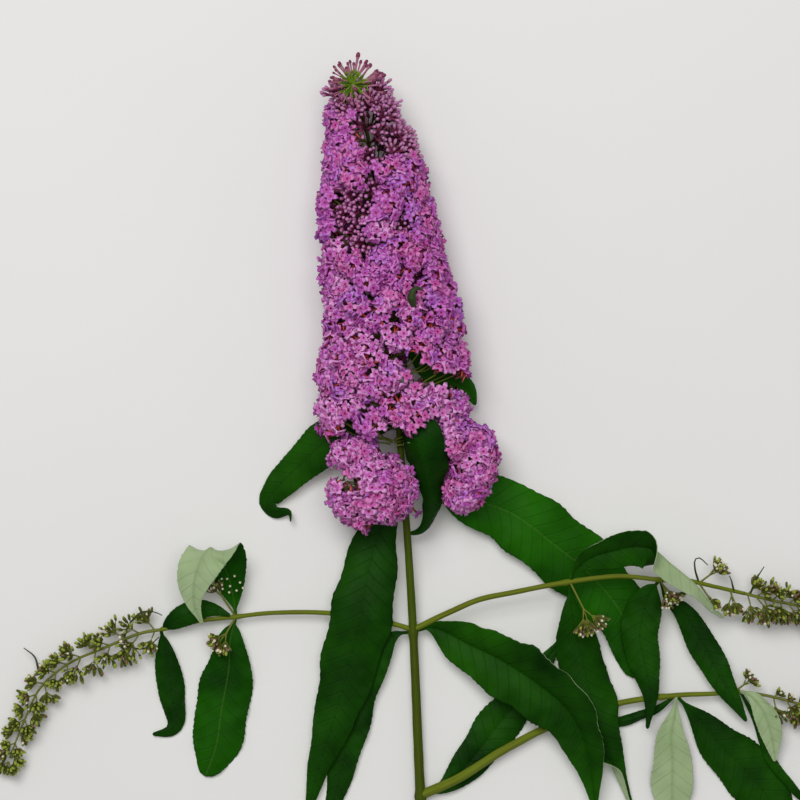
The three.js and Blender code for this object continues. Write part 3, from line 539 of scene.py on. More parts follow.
def stalk_tree():
    """Gives every chain of edges a round section, as thick as its points say."""
    inputs = [("Paths", "NodeSocketGeometry", None), ("Sides", "NodeSocketInt", 6),
              ("Finish", "NodeSocketMaterial", None)]
    tree, given, result = new_tree("stalks_along_paths", "GeometryNodeTree", inputs,
                                   [("Geometry", "NodeSocketGeometry")])
    curve = result_of(tree, "GeometryNodeMeshToCurve", {"Mesh": given.outputs["Paths"]})
    section = result_of(tree, "GeometryNodeCurvePrimitiveCircle",
                        {"Resolution": given.outputs["Sides"], "Radius": 0.5})
    skin = result_of(tree, "GeometryNodeCurveToMesh", {
        "Curve": curve, "Profile Curve": section, "Scale": attribute_of(tree, "thickness"),
        "Fill Caps": True})
    smooth = result_of(tree, "GeometryNodeSetShadeSmooth", {"Geometry": skin})
    whole = result_of(tree, "GeometryNodeRealizeInstances", {"Geometry": smooth})
    painted = result_of(tree, "GeometryNodeSetMaterial",
                        {"Geometry": whole, "Material": given.outputs["Finish"]})
    tree.links.new(painted, result.inputs[0])
    return tree


def grown(name, start, tree, values):
    """The plain mesh that a tree of nodes makes of a starting mesh, as a new piece."""
    piece = show(name, start)
    modifier = piece.modifiers.new("growth", "NODES")
    modifier.node_group = tree
    for socket in tree.interface.items_tree:
        if socket.in_out == "INPUT" and socket.name in values:
            modifier[socket.identifier] = values[socket.name]
    bpy.context.view_layer.update()
    seen = piece.evaluated_get(bpy.context.evaluated_depsgraph_get())
    mesh = bpy.data.meshes.new_from_object(seen)
    piece.modifiers.clear()
    piece.data = mesh
    mesh.name = name
    for spare in ("aim", "spin", "size", "zone", "loose", "thickness"):
        if spare in mesh.attributes:
            mesh.attributes.remove(mesh.attributes[spare])
    return piece


# ------------------------------------------------------------------ finishes

def colour(text):
    """A linear colour from a hexadecimal one."""
    parts = [int(text[start:start + 2], 16) / 255 for start in (0, 2, 4)]
    return (*[part / 12.92 if part <= 0.04045 else ((part + 0.055) / 1.055) ** 2.4
              for part in parts], 1)


def new_finish(name, sockets):
    """A material, its tree, and its shader with plain values on its own sockets."""
    finish = bpy.data.materials.new(name)
    finish.use_nodes = True
    tree = finish.node_tree
    shader = tree.nodes["Principled BSDF"]
    for socket, value in sockets.items():
        shader.inputs[socket].default_value = value
    return finish, tree, shader


def noise_on(tree, scale, detail=2.0, vector=None):
    """A noise from 0 to 1 over the piece, or along a vector of its own."""
    if vector is None:
        vector = wired(tree, "ShaderNodeTexCoord").outputs["Object"]
    return result_of(tree, "ShaderNodeTexNoise",
                     {"Vector": vector, "Scale": scale, "Detail": detail})


def ranged(tree, value, low, high):
    """A value from 0 to 1 spread over another range."""
    return result_of(tree, "ShaderNodeMapRange", {"Value": value, "To Min": low, "To Max": high})


def mixed(tree, share, first, second):
    """A colour between two, each a socket or a hexadecimal colour."""
    first, second = (colour(end) if isinstance(end, str) else end for end in (first, second))
    return wired(tree, "ShaderNodeMix", {0: share, 6: first, 7: second}, data_type="RGBA").outputs[2]


def wire_up(tree, shader, height, relief, roughness=None, base=None):
    """Wires a relief to a shader, and a roughness and a colour where they vary."""
    bump = result_of(tree, "ShaderNodeBump", {"Height": height, "Distance": relief, "Strength": 1.0})
    for socket, source in (("Normal", bump), ("Roughness", roughness), ("Base Color", base)):
        if source is not None:
            tree.links.new(source, shader.inputs[socket])


def soft_finish(name, plain, roughness=0.55):
    """A finish of one plain colour for small joined things, with a fine uneven skin."""
    finish, tree, shader = new_finish(name, {"Base Color": colour(plain), "Specular IOR Level": 0.3})
    skin = noise_on(tree, 900.0, 3.0)
    wire_up(tree, shader, skin, 0.00012, ranged(tree, skin, roughness - 0.12, roughness + 0.12))
    return finish


def vein_group():
    """Masks of a leaf's midrib and side veins, from its own map."""
    inputs = [("Vector", "NodeSocketVector", None), ("Spacing", "NodeSocketFloat", VEIN_SPACING),
              ("Slant", "NodeSocketFloat", VEIN_SLANT), ("Vein Width", "NodeSocketFloat", None),
              ("Midrib Width", "NodeSocketFloat", None)]
    tree, given, result = new_tree("leaf_veins", "ShaderNodeTree", inputs,
                                   [("Midrib", "NodeSocketFloat"), ("Veins", "NodeSocketFloat")])
    split = wired(tree, "ShaderNodeSeparateXYZ", {0: given.outputs["Vector"]})
    lengthways = maths(tree, "MULTIPLY", split.outputs[0], UV_LENGTH)
    sideways = maths(tree, "MULTIPLY", maths(tree, "SUBTRACT", split.outputs[1], 0.5), UV_WIDTH)
    aside = maths(tree, "ABSOLUTE", sideways)
    bowed = maths(tree, "MULTIPLY", maths(tree, "POWER", aside, VEIN_BOW), given.outputs["Slant"])
    along_veins = maths(tree, "SUBTRACT", lengthways, bowed)
    slanted = maths(tree, "DIVIDE", along_veins, given.outputs["Spacing"])
    swing = maths(tree, "SUBTRACT", maths(tree, "FRACT", slanted), 0.5)
    swing = maths(tree, "ABSOLUTE", swing)
    for mask, distance, width in (("Midrib", aside, "Midrib Width"), ("Veins", swing, "Vein Width")):
        near = result_of(tree, "ShaderNodeMapRange", {
            "Value": distance, "From Min": given.outputs[width], "From Max": 0.0})
        tree.links.new(near, result.inputs[mask])
    return tree


VEINS = vein_group()


def leaf_veins(tree, vein_width, midrib_width):
    """The masks of the midrib and of the side veins on a leaf."""
    veins = tree.nodes.new("ShaderNodeGroup")
    veins.node_tree = VEINS
    tree.links.new(result_of(tree, "ShaderNodeUVMap", uv_map="blade"), veins.inputs["Vector"])
    veins.inputs["Vein Width"].default_value = vein_width
    veins.inputs["Midrib Width"].default_value = midrib_width
    return veins.outputs["Midrib"], veins.outputs["Veins"]


def leaf_top_finish(name, dark, light, vein):
    """The upper face: dark green, a little glossy, with fine darker veins and a paler midrib."""
    finish, tree, shader = new_finish(name, {"Specular IOR Level": 0.05})
    midrib, veins = leaf_veins(tree, vein_width=0.09, midrib_width=0.55)
    fine = noise_on(tree, 700.0)
    green = mixed(tree, ranged(tree, noise_on(tree, 30.0, 3.0), -0.6, 1.6), dark, light)
    green = mixed(tree, maths(tree, "MULTIPLY", veins, 0.15), green, dark)
    green = mixed(tree, maths(tree, "MULTIPLY", midrib, 0.35), green, vein)
    wire_up(tree, shader, maths(tree, "SUBTRACT", fine, veins), 0.00018,
            ranged(tree, fine, 0.4, 0.62), green)
    return finish


def leaf_felt_finish(name):
    """The underside: silvery felt over raised veins."""
    finish, tree, shader = new_finish(name, {"Specular IOR Level": 0.15, "Sheen Weight": 0.25})
    midrib, veins = leaf_veins(tree, vein_width=0.13, midrib_width=1.0)
    felt = noise_on(tree, 420.0, 4.0)
    silver = mixed(tree, noise_on(tree, 45.0), "7f9865", "b0c297")
    silver = mixed(tree, ranged(tree, felt, -0.2, 0.6), silver, "9cb183")
    silver = mixed(tree, maths(tree, "MULTIPLY", veins, 0.12), silver, "6f8a58")
    silver = mixed(tree, maths(tree, "MULTIPLY", midrib, 0.5), silver, "7b935f")
    wire_up(tree, shader, maths(tree, "ADD", felt, veins), 0.0002,
            ranged(tree, felt, 0.75, 0.95), silver)
    return finish


def stem_finish(name, green, brown, pale):
    """Young bark: olive green and brown streaks that run with the stem."""
    finish, tree, shader = new_finish(name, {"Specular IOR Level": 0.12})
    own_map = result_of(tree, "ShaderNodeUVMap", uv_map="bark")
    stretched = result_of(tree, "ShaderNodeMapping", {"Vector": own_map, "Scale": (6.0, 14.0, 1.0)})
    streaks = noise_on(tree, 3.0, 4.0, stretched)
    grain = noise_on(tree, 1500.0, 3.0)
    bark = mixed(tree, ranged(tree, noise_on(tree, 30.0), -1.0, 1.5), green, brown)
    bark = mixed(tree, ranged(tree, streaks, -0.5, 1.0), bark, pale)
    wire_up(tree, shader, grain, 0.0001, ranged(tree, grain, 0.5, 0.75), bark)
    return finish


LEAF_TOP = leaf_top_finish("leaf_upper_face", "042201", "1d5204", "0a2a03")
# A brighter copy of the upper face, for the brighter leaves.
LEAF_TOP_BRIGHT = leaf_top_finish("leaf_upper_face_brighter", "0a3200", "206203", "50722e")
LEAF_FELT = leaf_felt_finish("leaf_silver_felt")
BARK = stem_finish("young_bark", "384c04", "38340a", "5a6a14")
BARK_PALE = stem_finish("pale_bark", "5c6c10", "55500e", "84902c")
SOFT = {name: soft_finish(name, *look) for name, *look in (
    ("fresh_cut_wood", "b9b27c", 0.8), ("pith", "dcd7b4", 0.9),
    # flower_eye is a flat disc over the throat: dark magenta, partly the eye's own colour and partly
    # painted shade of the open throat.
    ("flower_eye", "7c1236", 0.5), ("flower_tube", "b8443f", 0.5), ("calyx", "5f4038", 0.7),
    ("bud_maroon", "7a2f52", 0.45), ("bud_stalk_maroon", "3c1420", 0.6),
    ("bud_pink", "bb7aab", 0.5), ("bud_rose", "96487c", 0.5), ("bud_pink_brown", "ac6c84", 0.5),
    ("bud_green", "8f9c38", 0.6), ("bud_olive", "4c5412", 0.6), ("bud_tan", "7c5a48", 0.6),
    ("bud_cream", "d8d6b8", 0.6), ("stalk_green", "6c7224", 0.6),
    ("young_stalk_green", "6d8a1e", 0.55), ("bract", "293c12", 0.6))}
# The four tints of the open flowers, each with the colour of its heart and of its rim. The heart is
# darker and the rim lighter: partly the petals' own deeper base, partly painted shade at the heart and
# a painted highlight on the lobe edges.
TINTS = {"mauve": ("b04ba6", "cd76c4"), "rose": ("bd4e9d", "d47bb9"),
         "lilac": ("a74eb0", "c37ccd"), "pale": ("c463b1", "dd99d2")}
for tint, colours in TINTS.items():
    for part, plain in zip(("heart", "rim"), colours):
        SOFT[f"petal_{part}_{tint}"] = soft_finish(f"petal_{part}_{tint}", plain)


# ------------------------------------------------------------------ stems

STEM_SIDES = 28
STEM_STEP = 1.3
NODE_LENGTH = 2.6         # how far along the stem a node's swelling reaches
NODE_SWELLING = 0.28      # this and the next four are shares of the stem's radius
CORNERS = 0.07
GROOVES = 0.035
GRAIN = 0.012
UNEVENNESS = 0.015
CUT_RINGS = (0.86, 0.3)   # where the bark ends on the cut end, and where the pith begins


def make_stem(name, shape, finish):
    """A four-angled stem with grooved bark, swollen where its leaves part from it. Wood and
    pith show on its first end."""
    _, _, length = smooth_route(shape["route"], 8)
    rows = int(length / STEM_STEP) + 2
    spots, directions, sides, tops, _ = frames_along(shape["route"], rows)
    rng = random.Random(name)
    phases = [rng.uniform(0, 2 * math.pi) for _ in range(4)]
    angles = np.linspace(0, 2 * math.pi, STEM_SIDES, endpoint=False)
    rings = []
    for row in range(rows):
        place = row / (rows - 1)
        at = place * length
        radius = along(shape["thickness"], place) / 2
        swelling = sum(math.exp(-((at - node * length) / NODE_LENGTH) ** 2) for node in shape["nodes"])
        corners = CORNERS * np.cos(4 * angles) + GROOVES * np.cos(12 * angles + phases[0])
        grain = (GRAIN * np.sin(9 * angles + at * 0.31 + phases[1])
                 + GRAIN * np.sin(17 * angles - at * 0.23 + phases[2])
                 + UNEVENNESS * math.sin(at * 0.37 + phases[3]))
        wide = radius * (1 + corners + grain + NODE_SWELLING * min(swelling, 1.0))
        rings.append(spots[row] + np.outer(wide * np.cos(angles), sides[row])
                     + np.outer(wide * np.sin(angles), tops[row]))
    faces = grid_faces(rows, STEM_SIDES, closed=True)
    slots = [0] * len(faces)
    for share in CUT_RINGS:
        rings.append(spots[0] + (rings[0] - spots[0]) * share - directions[0] * 0.02)
    bark_end, pith = rows * STEM_SIDES, (rows + 1) * STEM_SIDES
    for side in range(STEM_SIDES):
        after = (side + 1) % STEM_SIDES
        faces.append([after, side, bark_end + side, bark_end + after])
        faces.append([bark_end + after, bark_end + side, pith + side, pith + after])
        slots += [0, 1]
    faces.append([pith + side for side in reversed(range(STEM_SIDES))])
    faces.append([bark_end - STEM_SIDES + side for side in range(STEM_SIDES)])
    slots += [2, 0]
    mesh = mesh_of(name + "_bark", in_frame(np.vstack(rings)), faces,
                   (finish, SOFT["fresh_cut_wood"], SOFT["pith"]), slots)
    add_map(mesh, "bark", [(min(ring, rows - 1) / rows * length / UV_LENGTH, side / STEM_SIDES)
                           for ring in range(len(rings)) for side in range(STEM_SIDES)])
    finish_piece(show(name + "_bark", mesh), (name,))


# ------------------------------------------------------------------ leaves

LEAF_ROWS = 90
ACROSS = (0, 0.05, 0.14, 0.28, 0.43, 0.58, 0.72, 0.85, 0.94, 1.0)
LEAF_THICKNESS = 0.45
LOWEST = 0.05 - SHIFT[2]  # where a leaf lies on the surface it stays just above it
PETIOLE_HALF_WIDTH = 0.9
STALK_END = 0.05
TIP_POWER = 1.25
EDGE_WAVE = 0.05          # this and the next three are shares of a blade's half width
TEETH = (0.014, 0.012)
ARCH = 0.08
FLUTTER = 0.05
QUILT = 0.09              # how far the blade sinks along its side veins,
CREASE = 0.35             # and how deep its creases are
TIP_ROW = 0.35            # the last row is this much as wide as its place would make it
# How deep or high the midrib's groove and its ridge beneath are, and half how wide.
GROOVE = (0.22, 0.8)
RIDGE = (0.75, 0.75)
RIB_TAPER = 0.75          # how much of both is gone at the tip


def half_width(leaf, place):
    """Half the width of a blade at a place along it, as in the part's source."""
    blade = min(max((place - STALK_END) / (1 - STALK_END), 0.0), 1.0)
    widest = leaf.get("widest", WIDEST)
    tip_power = TIP_POWER * leaf.get("blunt", 1)
    foot_power = tip_power * widest / (1 - widest)

    def outline(x):
        return x ** foot_power * (1 - x) ** tip_power

    share = outline(blade) / outline(widest)
    return PETIOLE_HALF_WIDTH + (leaf["width"] / 2 - PETIOLE_HALF_WIDTH) * share


def leaf_surface(name, leaf):
    """The middle surface of a leaf, as rows of points from its left edge to its right one,
    with each point's distance along and across."""
    spots, _, sides, tops, length = frames_along(leaf["route"], LEAF_ROWS)
    rng = random.Random(name)
    phases = [rng.uniform(0, 2 * math.pi) for _ in range(6)]
    droop = [(0, leaf.get("droop", DROOP))]
    shares = [-share for share in reversed(ACROSS[1:])] + list(ACROSS)
    rows, places = [], []
    for row in range(LEAF_ROWS):
        place = row / (LEAF_ROWS - 1)
        at = place * length
        half = half_width(leaf, place)
        if row == LEAF_ROWS - 1:
            half *= TIP_ROW
        roll = eased(leaf.get("roll", [(0, 0)]), place)
        ripple = leaf.get("wave", WAVE) * math.sin(place * 17) * half / leaf["width"]
        line, where = [], []
        for share in shares:
            left = share < 0
            sign = -1 if left else 1
            aside = abs(share)
            lowered = eased(leaf.get("left" if left else "right", droop), place)
            angle = math.radians(roll + sign * lowered)
            out = -sign * (sides[row] * math.cos(angle) + tops[row] * math.sin(angle))
            upward = tops[row] * math.cos(angle) - sides[row] * math.sin(angle)
            phase = phases[0] if left else phases[1]
            edge = (1 + EDGE_WAVE * math.sin(at * 0.19 + phase) + TEETH[0] * math.sin(at * 1.7 + phase)
                    + TEETH[1] * math.sin(at * 2.9 + phases[2] + phase))
            reach = aside * half * (1 + (edge - 1) * aside ** 4)
            arch = ARCH * half * math.sin(math.pi * aside)
            turned = sign * ripple * aside ** 2
            flutter = FLUTTER * half * aside ** 3 * math.sin(at * 0.33 + phases[3] + 2 * left)
            quilt = QUILT * math.sin(math.pi * min(aside, 0.92) / 0.92) * math.cos(
                2 * math.pi * (at - VEIN_SLANT * reach ** VEIN_BOW) / VEIN_SPACING)
            quilt *= min(half / 6, 1)
            crease = CREASE * min(half / 8, 1) * aside * math.sin(
                at * 0.47 + 5 * aside + phases[4] + 2 * left) * math.sin(at * 0.11 + phases[5])
            height = arch + turned + flutter + crease - quilt
            line.append(spots[row] + out * reach + upward * height)
            where.append((at, sign * reach))
        rows.append(line)
        places.append(where)
    return np.array(rows), np.array(places)


def make_leaf(name, leaf, finish):
    """A leaf blade with both its faces, its midrib sunk above and raised beneath."""
    surface, places = leaf_surface(name, leaf)
    rows, columns = surface.shape[:2]
    lengthways = np.gradient(surface, axis=0)
    crossways = np.gradient(surface, axis=1)
    normals = unit(np.cross(crossways, lengthways))
    taper = 1 - RIB_TAPER * np.linspace(0, 1, rows)[:, None]
    groove, ridge = (depth * np.exp(-(np.abs(places[:, :, 1]) / width) ** 2) * taper
                     for depth, width in (GROOVE, RIDGE))
    upper = surface + normals * (LEAF_THICKNESS / 2 - groove)[:, :, None]
    lower = surface - normals * (LEAF_THICKNESS / 2 + ridge)[:, :, None]
    lower[:, :, 2] = np.maximum(lower[:, :, 2], LOWEST)
    upper[:, :, 2] = np.maximum(upper[:, :, 2], LOWEST + LEAF_THICKNESS)
    count = rows * columns
    faces = grid_faces(rows, columns)
    slots = [0] * len(faces) + [1] * len(faces)
    faces += [face[::-1] for face in grid_faces(rows, columns, count)]
    rim = list(range(columns))
    rim += [row * columns + columns - 1 for row in range(1, rows)]
    rim += [(rows - 1) * columns + column for column in reversed(range(columns - 1))]
    rim += [row * columns for row in reversed(range(1, rows - 1))]
    for here, after in zip(rim, rim[1:] + rim[:1]):
        faces.append([after, here, here + count, after + count])
        slots.append(1)
    points = np.vstack([upper.reshape(-1, 3), lower.reshape(-1, 3)])
    mesh = mesh_of(name + "_blade", in_frame(points), faces, (finish, LEAF_FELT), slots)
    flat = np.vstack([places.reshape(-1, 2)] * 2)
    add_map(mesh, "blade", np.stack([flat[:, 0] / UV_LENGTH, 0.5 + flat[:, 1] / UV_WIDTH], axis=1))
    finish_piece(show(name + "_blade", mesh), (name,))
    return surface


# ------------------------------------------------------------------ small shapes

LOBES = 4
# The rim of an open flower from one notch to the next, as (reach, height).
LOBE_OUTLINE = [(1.9, -0.4), (3.5, 0.3), (4.1, -0.5), (3.5, 0.3)]
FLOWER_REACH = 3.2        # from the middle of a flower to where its lobes part
LOBE_REACH = 4.6          # and to the ends of its lobes, with room for their ruffles
EYE_RADIUS = 0.62
FACE_LOOSENESS = (0.0, 0.4, 1.0)    # how much of the ruffle its eye, middle and rim take
RUFFLE = 1.7
# Its tube under the face, as (radius, height, zone of the band above).
TUBE_RINGS = [(0.72, -0.65, 2), (0.5, -6.2, 3), (0.85, -6.3, 4), (0.6, -8.2, 4)]
TUBE_LENGTH = 7           # a stray flower's stalk ends this far behind its face
BUD_SIDES = 6
# Buds from the foot of the stalk up, as (height, radius, zone of the band above).
ROUND_BUD = [(-5.5, 0.4, 4), (-4.2, 0.75, 3), (-1.6, 0.5, 2), (-0.7, 1.05, 1), (0.4, 1.1, 0),
             (1.1, 0.45, 0)]
LONG_BUD = [(-8.5, 0.45, 4), (-7, 0.75, 4), (-6, 0.45, 3), (-1.8, 0.55, 2), (-0.8, 0.9, 1),
            (0.4, 0.85, 1), (1.0, 0.35, 1)]
GREEN_BUD = [(-2.6, 0.3, 3), (-1.9, 0.75, 3), (-0.5, 0.85, 2), (0.3, 0.8, 1), (1.1, 0.6, 0),
             (1.5, 0.2, 0)]
GREEN_BUD_FOOT = 2.2      # its stalk ends this far below its middle


def zoned_shape(name, points, faces, zones):
    mesh = mesh_of(name, np.array(points) * MM, faces)
    add_attribute(mesh, "zone", "INT", "FACE", zones)
    return show(name, mesh)


def blossom_shape(name, rng):
    """An open flower: a four-lobed ruffled face at the origin, on a slender tube."""
    steps = len(LOBE_OUTLINE)
    around = LOBES * steps
    eye, middle, rim = [], [], []
    for index in range(around):
        angle = 2 * math.pi * index / around
        reach, height = LOBE_OUTLINE[index % steps]
        reach *= rng.uniform(0.93, 1.06)
        height += rng.uniform(-0.45, 0.45)
        outwards = np.array([math.cos(angle), math.sin(angle), 0])
        eye.append(outwards * EYE_RADIUS + UP * -0.1)
        middle.append(outwards * min(2.2, reach * 0.75) + UP * (0.3 + rng.uniform(-0.15, 0.15)))
        rim.append(outwards * reach + UP * height)
    points = eye + middle + rim
    # The eye disc closes the throat; its finish holds painted shade of the open throat as well as the
    # eye's own colour.
    faces = [list(range(around))] + [[a, d, c, b] for a, b, c, d in grid_faces(3, around, closed=True)]
    zones = [0] + [1] * around + [2] * around
    starts = []
    for radius, height, _ in TUBE_RINGS:
        starts.append(len(points))
        points += ring_of(radius, height, LOBES)
    for lobe in range(LOBES):
        after = (lobe + 1) % LOBES
        edge = [2 * around + (lobe * steps + step) % around for step in range(steps + 1)]
        faces.append(([starts[0] + lobe] + edge + [starts[0] + after])[::-1])
        zones.append(1)
        for (_, _, zone), upper, lower in zip(TUBE_RINGS[1:], starts, starts[1:]):
            faces.append([lower + lobe, lower + after, upper + after, upper + lobe])
            zones.append(zone)
    faces.append([starts[-1] + lobe for lobe in reversed(range(LOBES))])
    zones.append(4)
    blossom = zoned_shape(name, points, faces, zones)
    loose = [share for share in FACE_LOOSENESS for _ in range(around)]
    loose += [0.0] * (len(points) - len(loose))
    add_attribute(blossom.data, "loose", "FLOAT", "POINT", loose)
    return blossom


def bud_shape(name, profile):
    """A small round shape with its head at the origin and its stalk downwards."""
    points = [point for height, radius, _ in profile for point in ring_of(radius, height, BUD_SIDES)]
    faces = grid_faces(len(profile), BUD_SIDES, closed=True)
    faces.append(list(reversed(range(BUD_SIDES))))
    faces.append([len(points) - BUD_SIDES + side for side in range(BUD_SIDES)])
    zones = [zone for _, _, zone in profile[:-1] for _ in range(BUD_SIDES)]
    return zoned_shape(name, points, faces, zones + [profile[0][2], profile[-2][2]])


class Markers(list):
    """Where a small shape is set, each place as its point, direction, spin and size."""

    def mesh(self, name):
        points, aims, spins, sizes = zip(*self)
        mesh = loose_points(name, points)
        add_attribute(mesh, "aim", "FLOAT_VECTOR", "POINT", aims)
        add_attribute(mesh, "spin", "FLOAT", "POINT", spins)
        add_attribute(mesh, "size", "FLOAT", "POINT", sizes)
        return mesh


class Paths:
    """Chains of points that become stalks."""

    def __init__(self):
        self.points, self.edges, self.thickness = [], [], []

    def add(self, kind, chain):
        start = len(self.points)
        self.points.extend(chain)
        self.thickness.extend(np.linspace(*THICKNESS[kind], len(chain)))
        self.edges.extend((start + step, start + step + 1) for step in range(len(chain) - 1))

    def mesh(self, name):
        mesh = loose_points(name, self.points, self.edges)
        add_attribute(mesh, "thickness", "FLOAT", "POINT", np.array(self.thickness) * MM)
        return mesh


SCATTER = scatter_tree()
STALKS = stalk_tree()


def make_scattered(name, markers, shape, finishes, nodes=(), ruffle=0.0):
    """A piece of many copies of a shape, whose zones have the named finishes."""
    zones = {zone: SOFT[finish] for zone, finish in zip(ZONES, finishes)}
    piece = grown(name, markers.mesh(name), SCATTER, {"Shape": shape, "Ruffle": ruffle * MM, **zones})
    finish_piece(piece, nodes)


def make_stalks(name, paths, finish):
    """A piece of round stalks along chains of points."""
    finish_piece(grown(name, paths.mesh(name), STALKS, {"Finish": SOFT[finish]}))


# ------------------------------------------------------------------ how flowers are set out

CYME_REACHES = (0.8, 1.15)     # shares of CYME_REACH
CYME_DEPTHS = (-1.8, 2.4)      # how far a cyme sits under the spike's skin, beyond its reach
CYME_TURN = 0.1                # how far it is out of its own place round the axis, in radians,
CYME_SHIFT = 0.012             # and along it, as a share of its length
FLOWER_SIZES = (0.84, 1.16)
FLOWER_TURN = 0.55             # how far a flower's face turns from its own direction,
BUD_TURN = 0.15                # and a bud's
LEAF_CLEARANCE = 2.6           # a flower's face stays this far from a leaf,
LEAF_SHOWN = 2.5               # and this far to the side of one that it hangs over,
LEAF_SHOWN_TO = 112            # where the leaf lies on this side of the spike's foot
BUDS_SHOW_ABOVE = 27           # only cymes this high are of round buds,
BUDS_SUNK = 4                  # they sit this much deeper,
BUDS_NEARER = 1.5              # and their buds are nearer to their hearts
EXTRA_BUDS = 5                 # an unopened cyme has this many more than an open one
BUD_REACH = 1.2
BUD_SIZES = (0.8, 1.1)
BUD_CHANCE = 0.04              # that one flower of an open cyme is still a bud
OWN_TINT_CHANCE = 0.6          # that a flower has its cyme's tint
SPIKE_RISE = 0.12              # how far cymes lean towards the spike's end,
LONG_BUD_RISE = 0.5            # and how much further the ones of long buds do
STALK_FALL = 11                # how far below a cyme its stalk leaves the axis,
ELBOW_FALL = 3                 # and how far it sags on its way
STALK_TOP = 0.6                # it ends this far past the cyme's heart
AXIS_STEPS = 200
END_CYME_FLOWERS = 12
END_CYME_SPREAD = 0.8
END_STALK = 9                  # how long the stalk of a cyme at the spike's end is,
END_STALK_FALL = 5             # and how far it leans back down the spike
CLUSTER_TINTS = (2, 3, 1, 5)
CLUSTER_CYME_FLOWERS = 15
CLUSTER_CYME_AREA = 150        # of a lump's surface, for each cyme on it
LUMP_OVERLAP = 0.85            # no cyme grows further inside another lump than this share


class Bloom:
    """Everything that grows in the spike and its clusters, gathered kind by kind."""

    def __init__(self, keep_clear):
        self.rng = random.Random(5)
        self.blossoms = {tint: Markers() for tint in TINTS}
        self.buds, self.long_buds = Markers(), Markers()
        self.dark_stalks, self.green_stalks = Paths(), Paths()
        self.keep_clear = keep_clear

    def room_for(self, point):
        near, _, distance = self.keep_clear.find(point)
        over = math.dist(near[:2], point[:2]) < LEAF_SHOWN and point[2] > near[2]
        hides = over and near[1] < LEAF_SHOWN_TO
        return point[2] > FLOOR_CLEARANCE and distance > LEAF_CLEARANCE and not hides

    def seen_in(self, point, places, wider=0.0):
        """Whether a point is seen from above in one of some round places."""
        seen = VIEW_MIDDLE + (point[:2] - VIEW_MIDDLE) * (VIEW_HEIGHT - SEEN_AT) / (
            VIEW_HEIGHT - point[2])
        return any(math.dist(seen, (x, y)) < radius + wider for x, y, radius in places)

    def cyme(self, heart, outward, stalk, tints, count=FLOWERS_A_CYME, spread=CYME_SPREAD):
        """A little half ball of flowers on a stalk, or of buds where they haven't opened."""
        rng = self.rng
        tint = rng.choices(tuple(TINTS), weights=tints)[0]
        long_buds = self.seen_in(heart, LONG_BUDS_IN_SPIKE)
        round_buds = heart[2] > BUDS_SHOW_ABOVE and self.seen_in(heart, BUDS_IN_SPIKE)
        unopened = long_buds or round_buds
        if round_buds:
            heart = heart - outward * BUDS_SUNK
        if long_buds:
            outward = unit(outward + SPIKE_END_AIM * LONG_BUD_RISE)
        grew = False
        for aim in bunch_directions(outward, count + EXTRA_BUDS * unopened, spread, rng):
            away = CYME_REACH * rng.uniform(*CYME_REACHES)
            point = heart + aim * (away - BUDS_NEARER * round_buds)
            point = point + outward * CYME_FLATNESS * away * (1 - aim.dot(outward))
            wider = BUD_REACH if unopened else FLOWER_REACH
            if not self.room_for(point) or self.seen_in(point, GAPS_IN_SPIKE, wider):
                continue
            grew = True
            if unopened or rng.random() < BUD_CHANCE:
                kind = self.long_buds if long_buds else self.buds
                kind.append((point, jittered(aim, BUD_TURN, rng), 0, rng.uniform(*BUD_SIZES)))
            else:
                own = rng.random() < OWN_TINT_CHANCE
                self.flower(tint if own else rng.choices(tuple(TINTS), tints)[0], point, aim)
        if grew:
            stalks = self.dark_stalks if unopened else self.green_stalks
            stalks.add("cyme", stalk + [heart + outward * STALK_TOP])

    def flower(self, tint, point, aim):
        """An open flower, lifted where its face would dip into the surface."""
        face = jittered(aim, FLOWER_TURN, self.rng)
        size = self.rng.uniform(*FLOWER_SIZES)
        hanging = LOBE_REACH * size * math.sqrt(1 - face[2] ** 2)
        point = point + UP * max(hanging - point[2], 0)
        self.blossoms[tint].append((point, face, self.rng.uniform(0, math.pi), size))

    def strays(self):
        """The single flowers beside the spike, each on a stalk of its own."""
        for place, foot in STRAY_FLOWERS:
            point, foot = floats(place), floats(foot)
            aim = unit(point - foot)
            self.flower("mauve", point, unit(aim + UP * 0.3))
            self.green_stalks.add("stray", [foot, point - aim * TUBE_LENGTH])


def tints_at(place):
    """How often each tint comes at a place up the spike: paler below and deeper above."""
    return (3 + 3 * place, 3, 1 + 2 * place, 5 * (1 - place) ** 2)


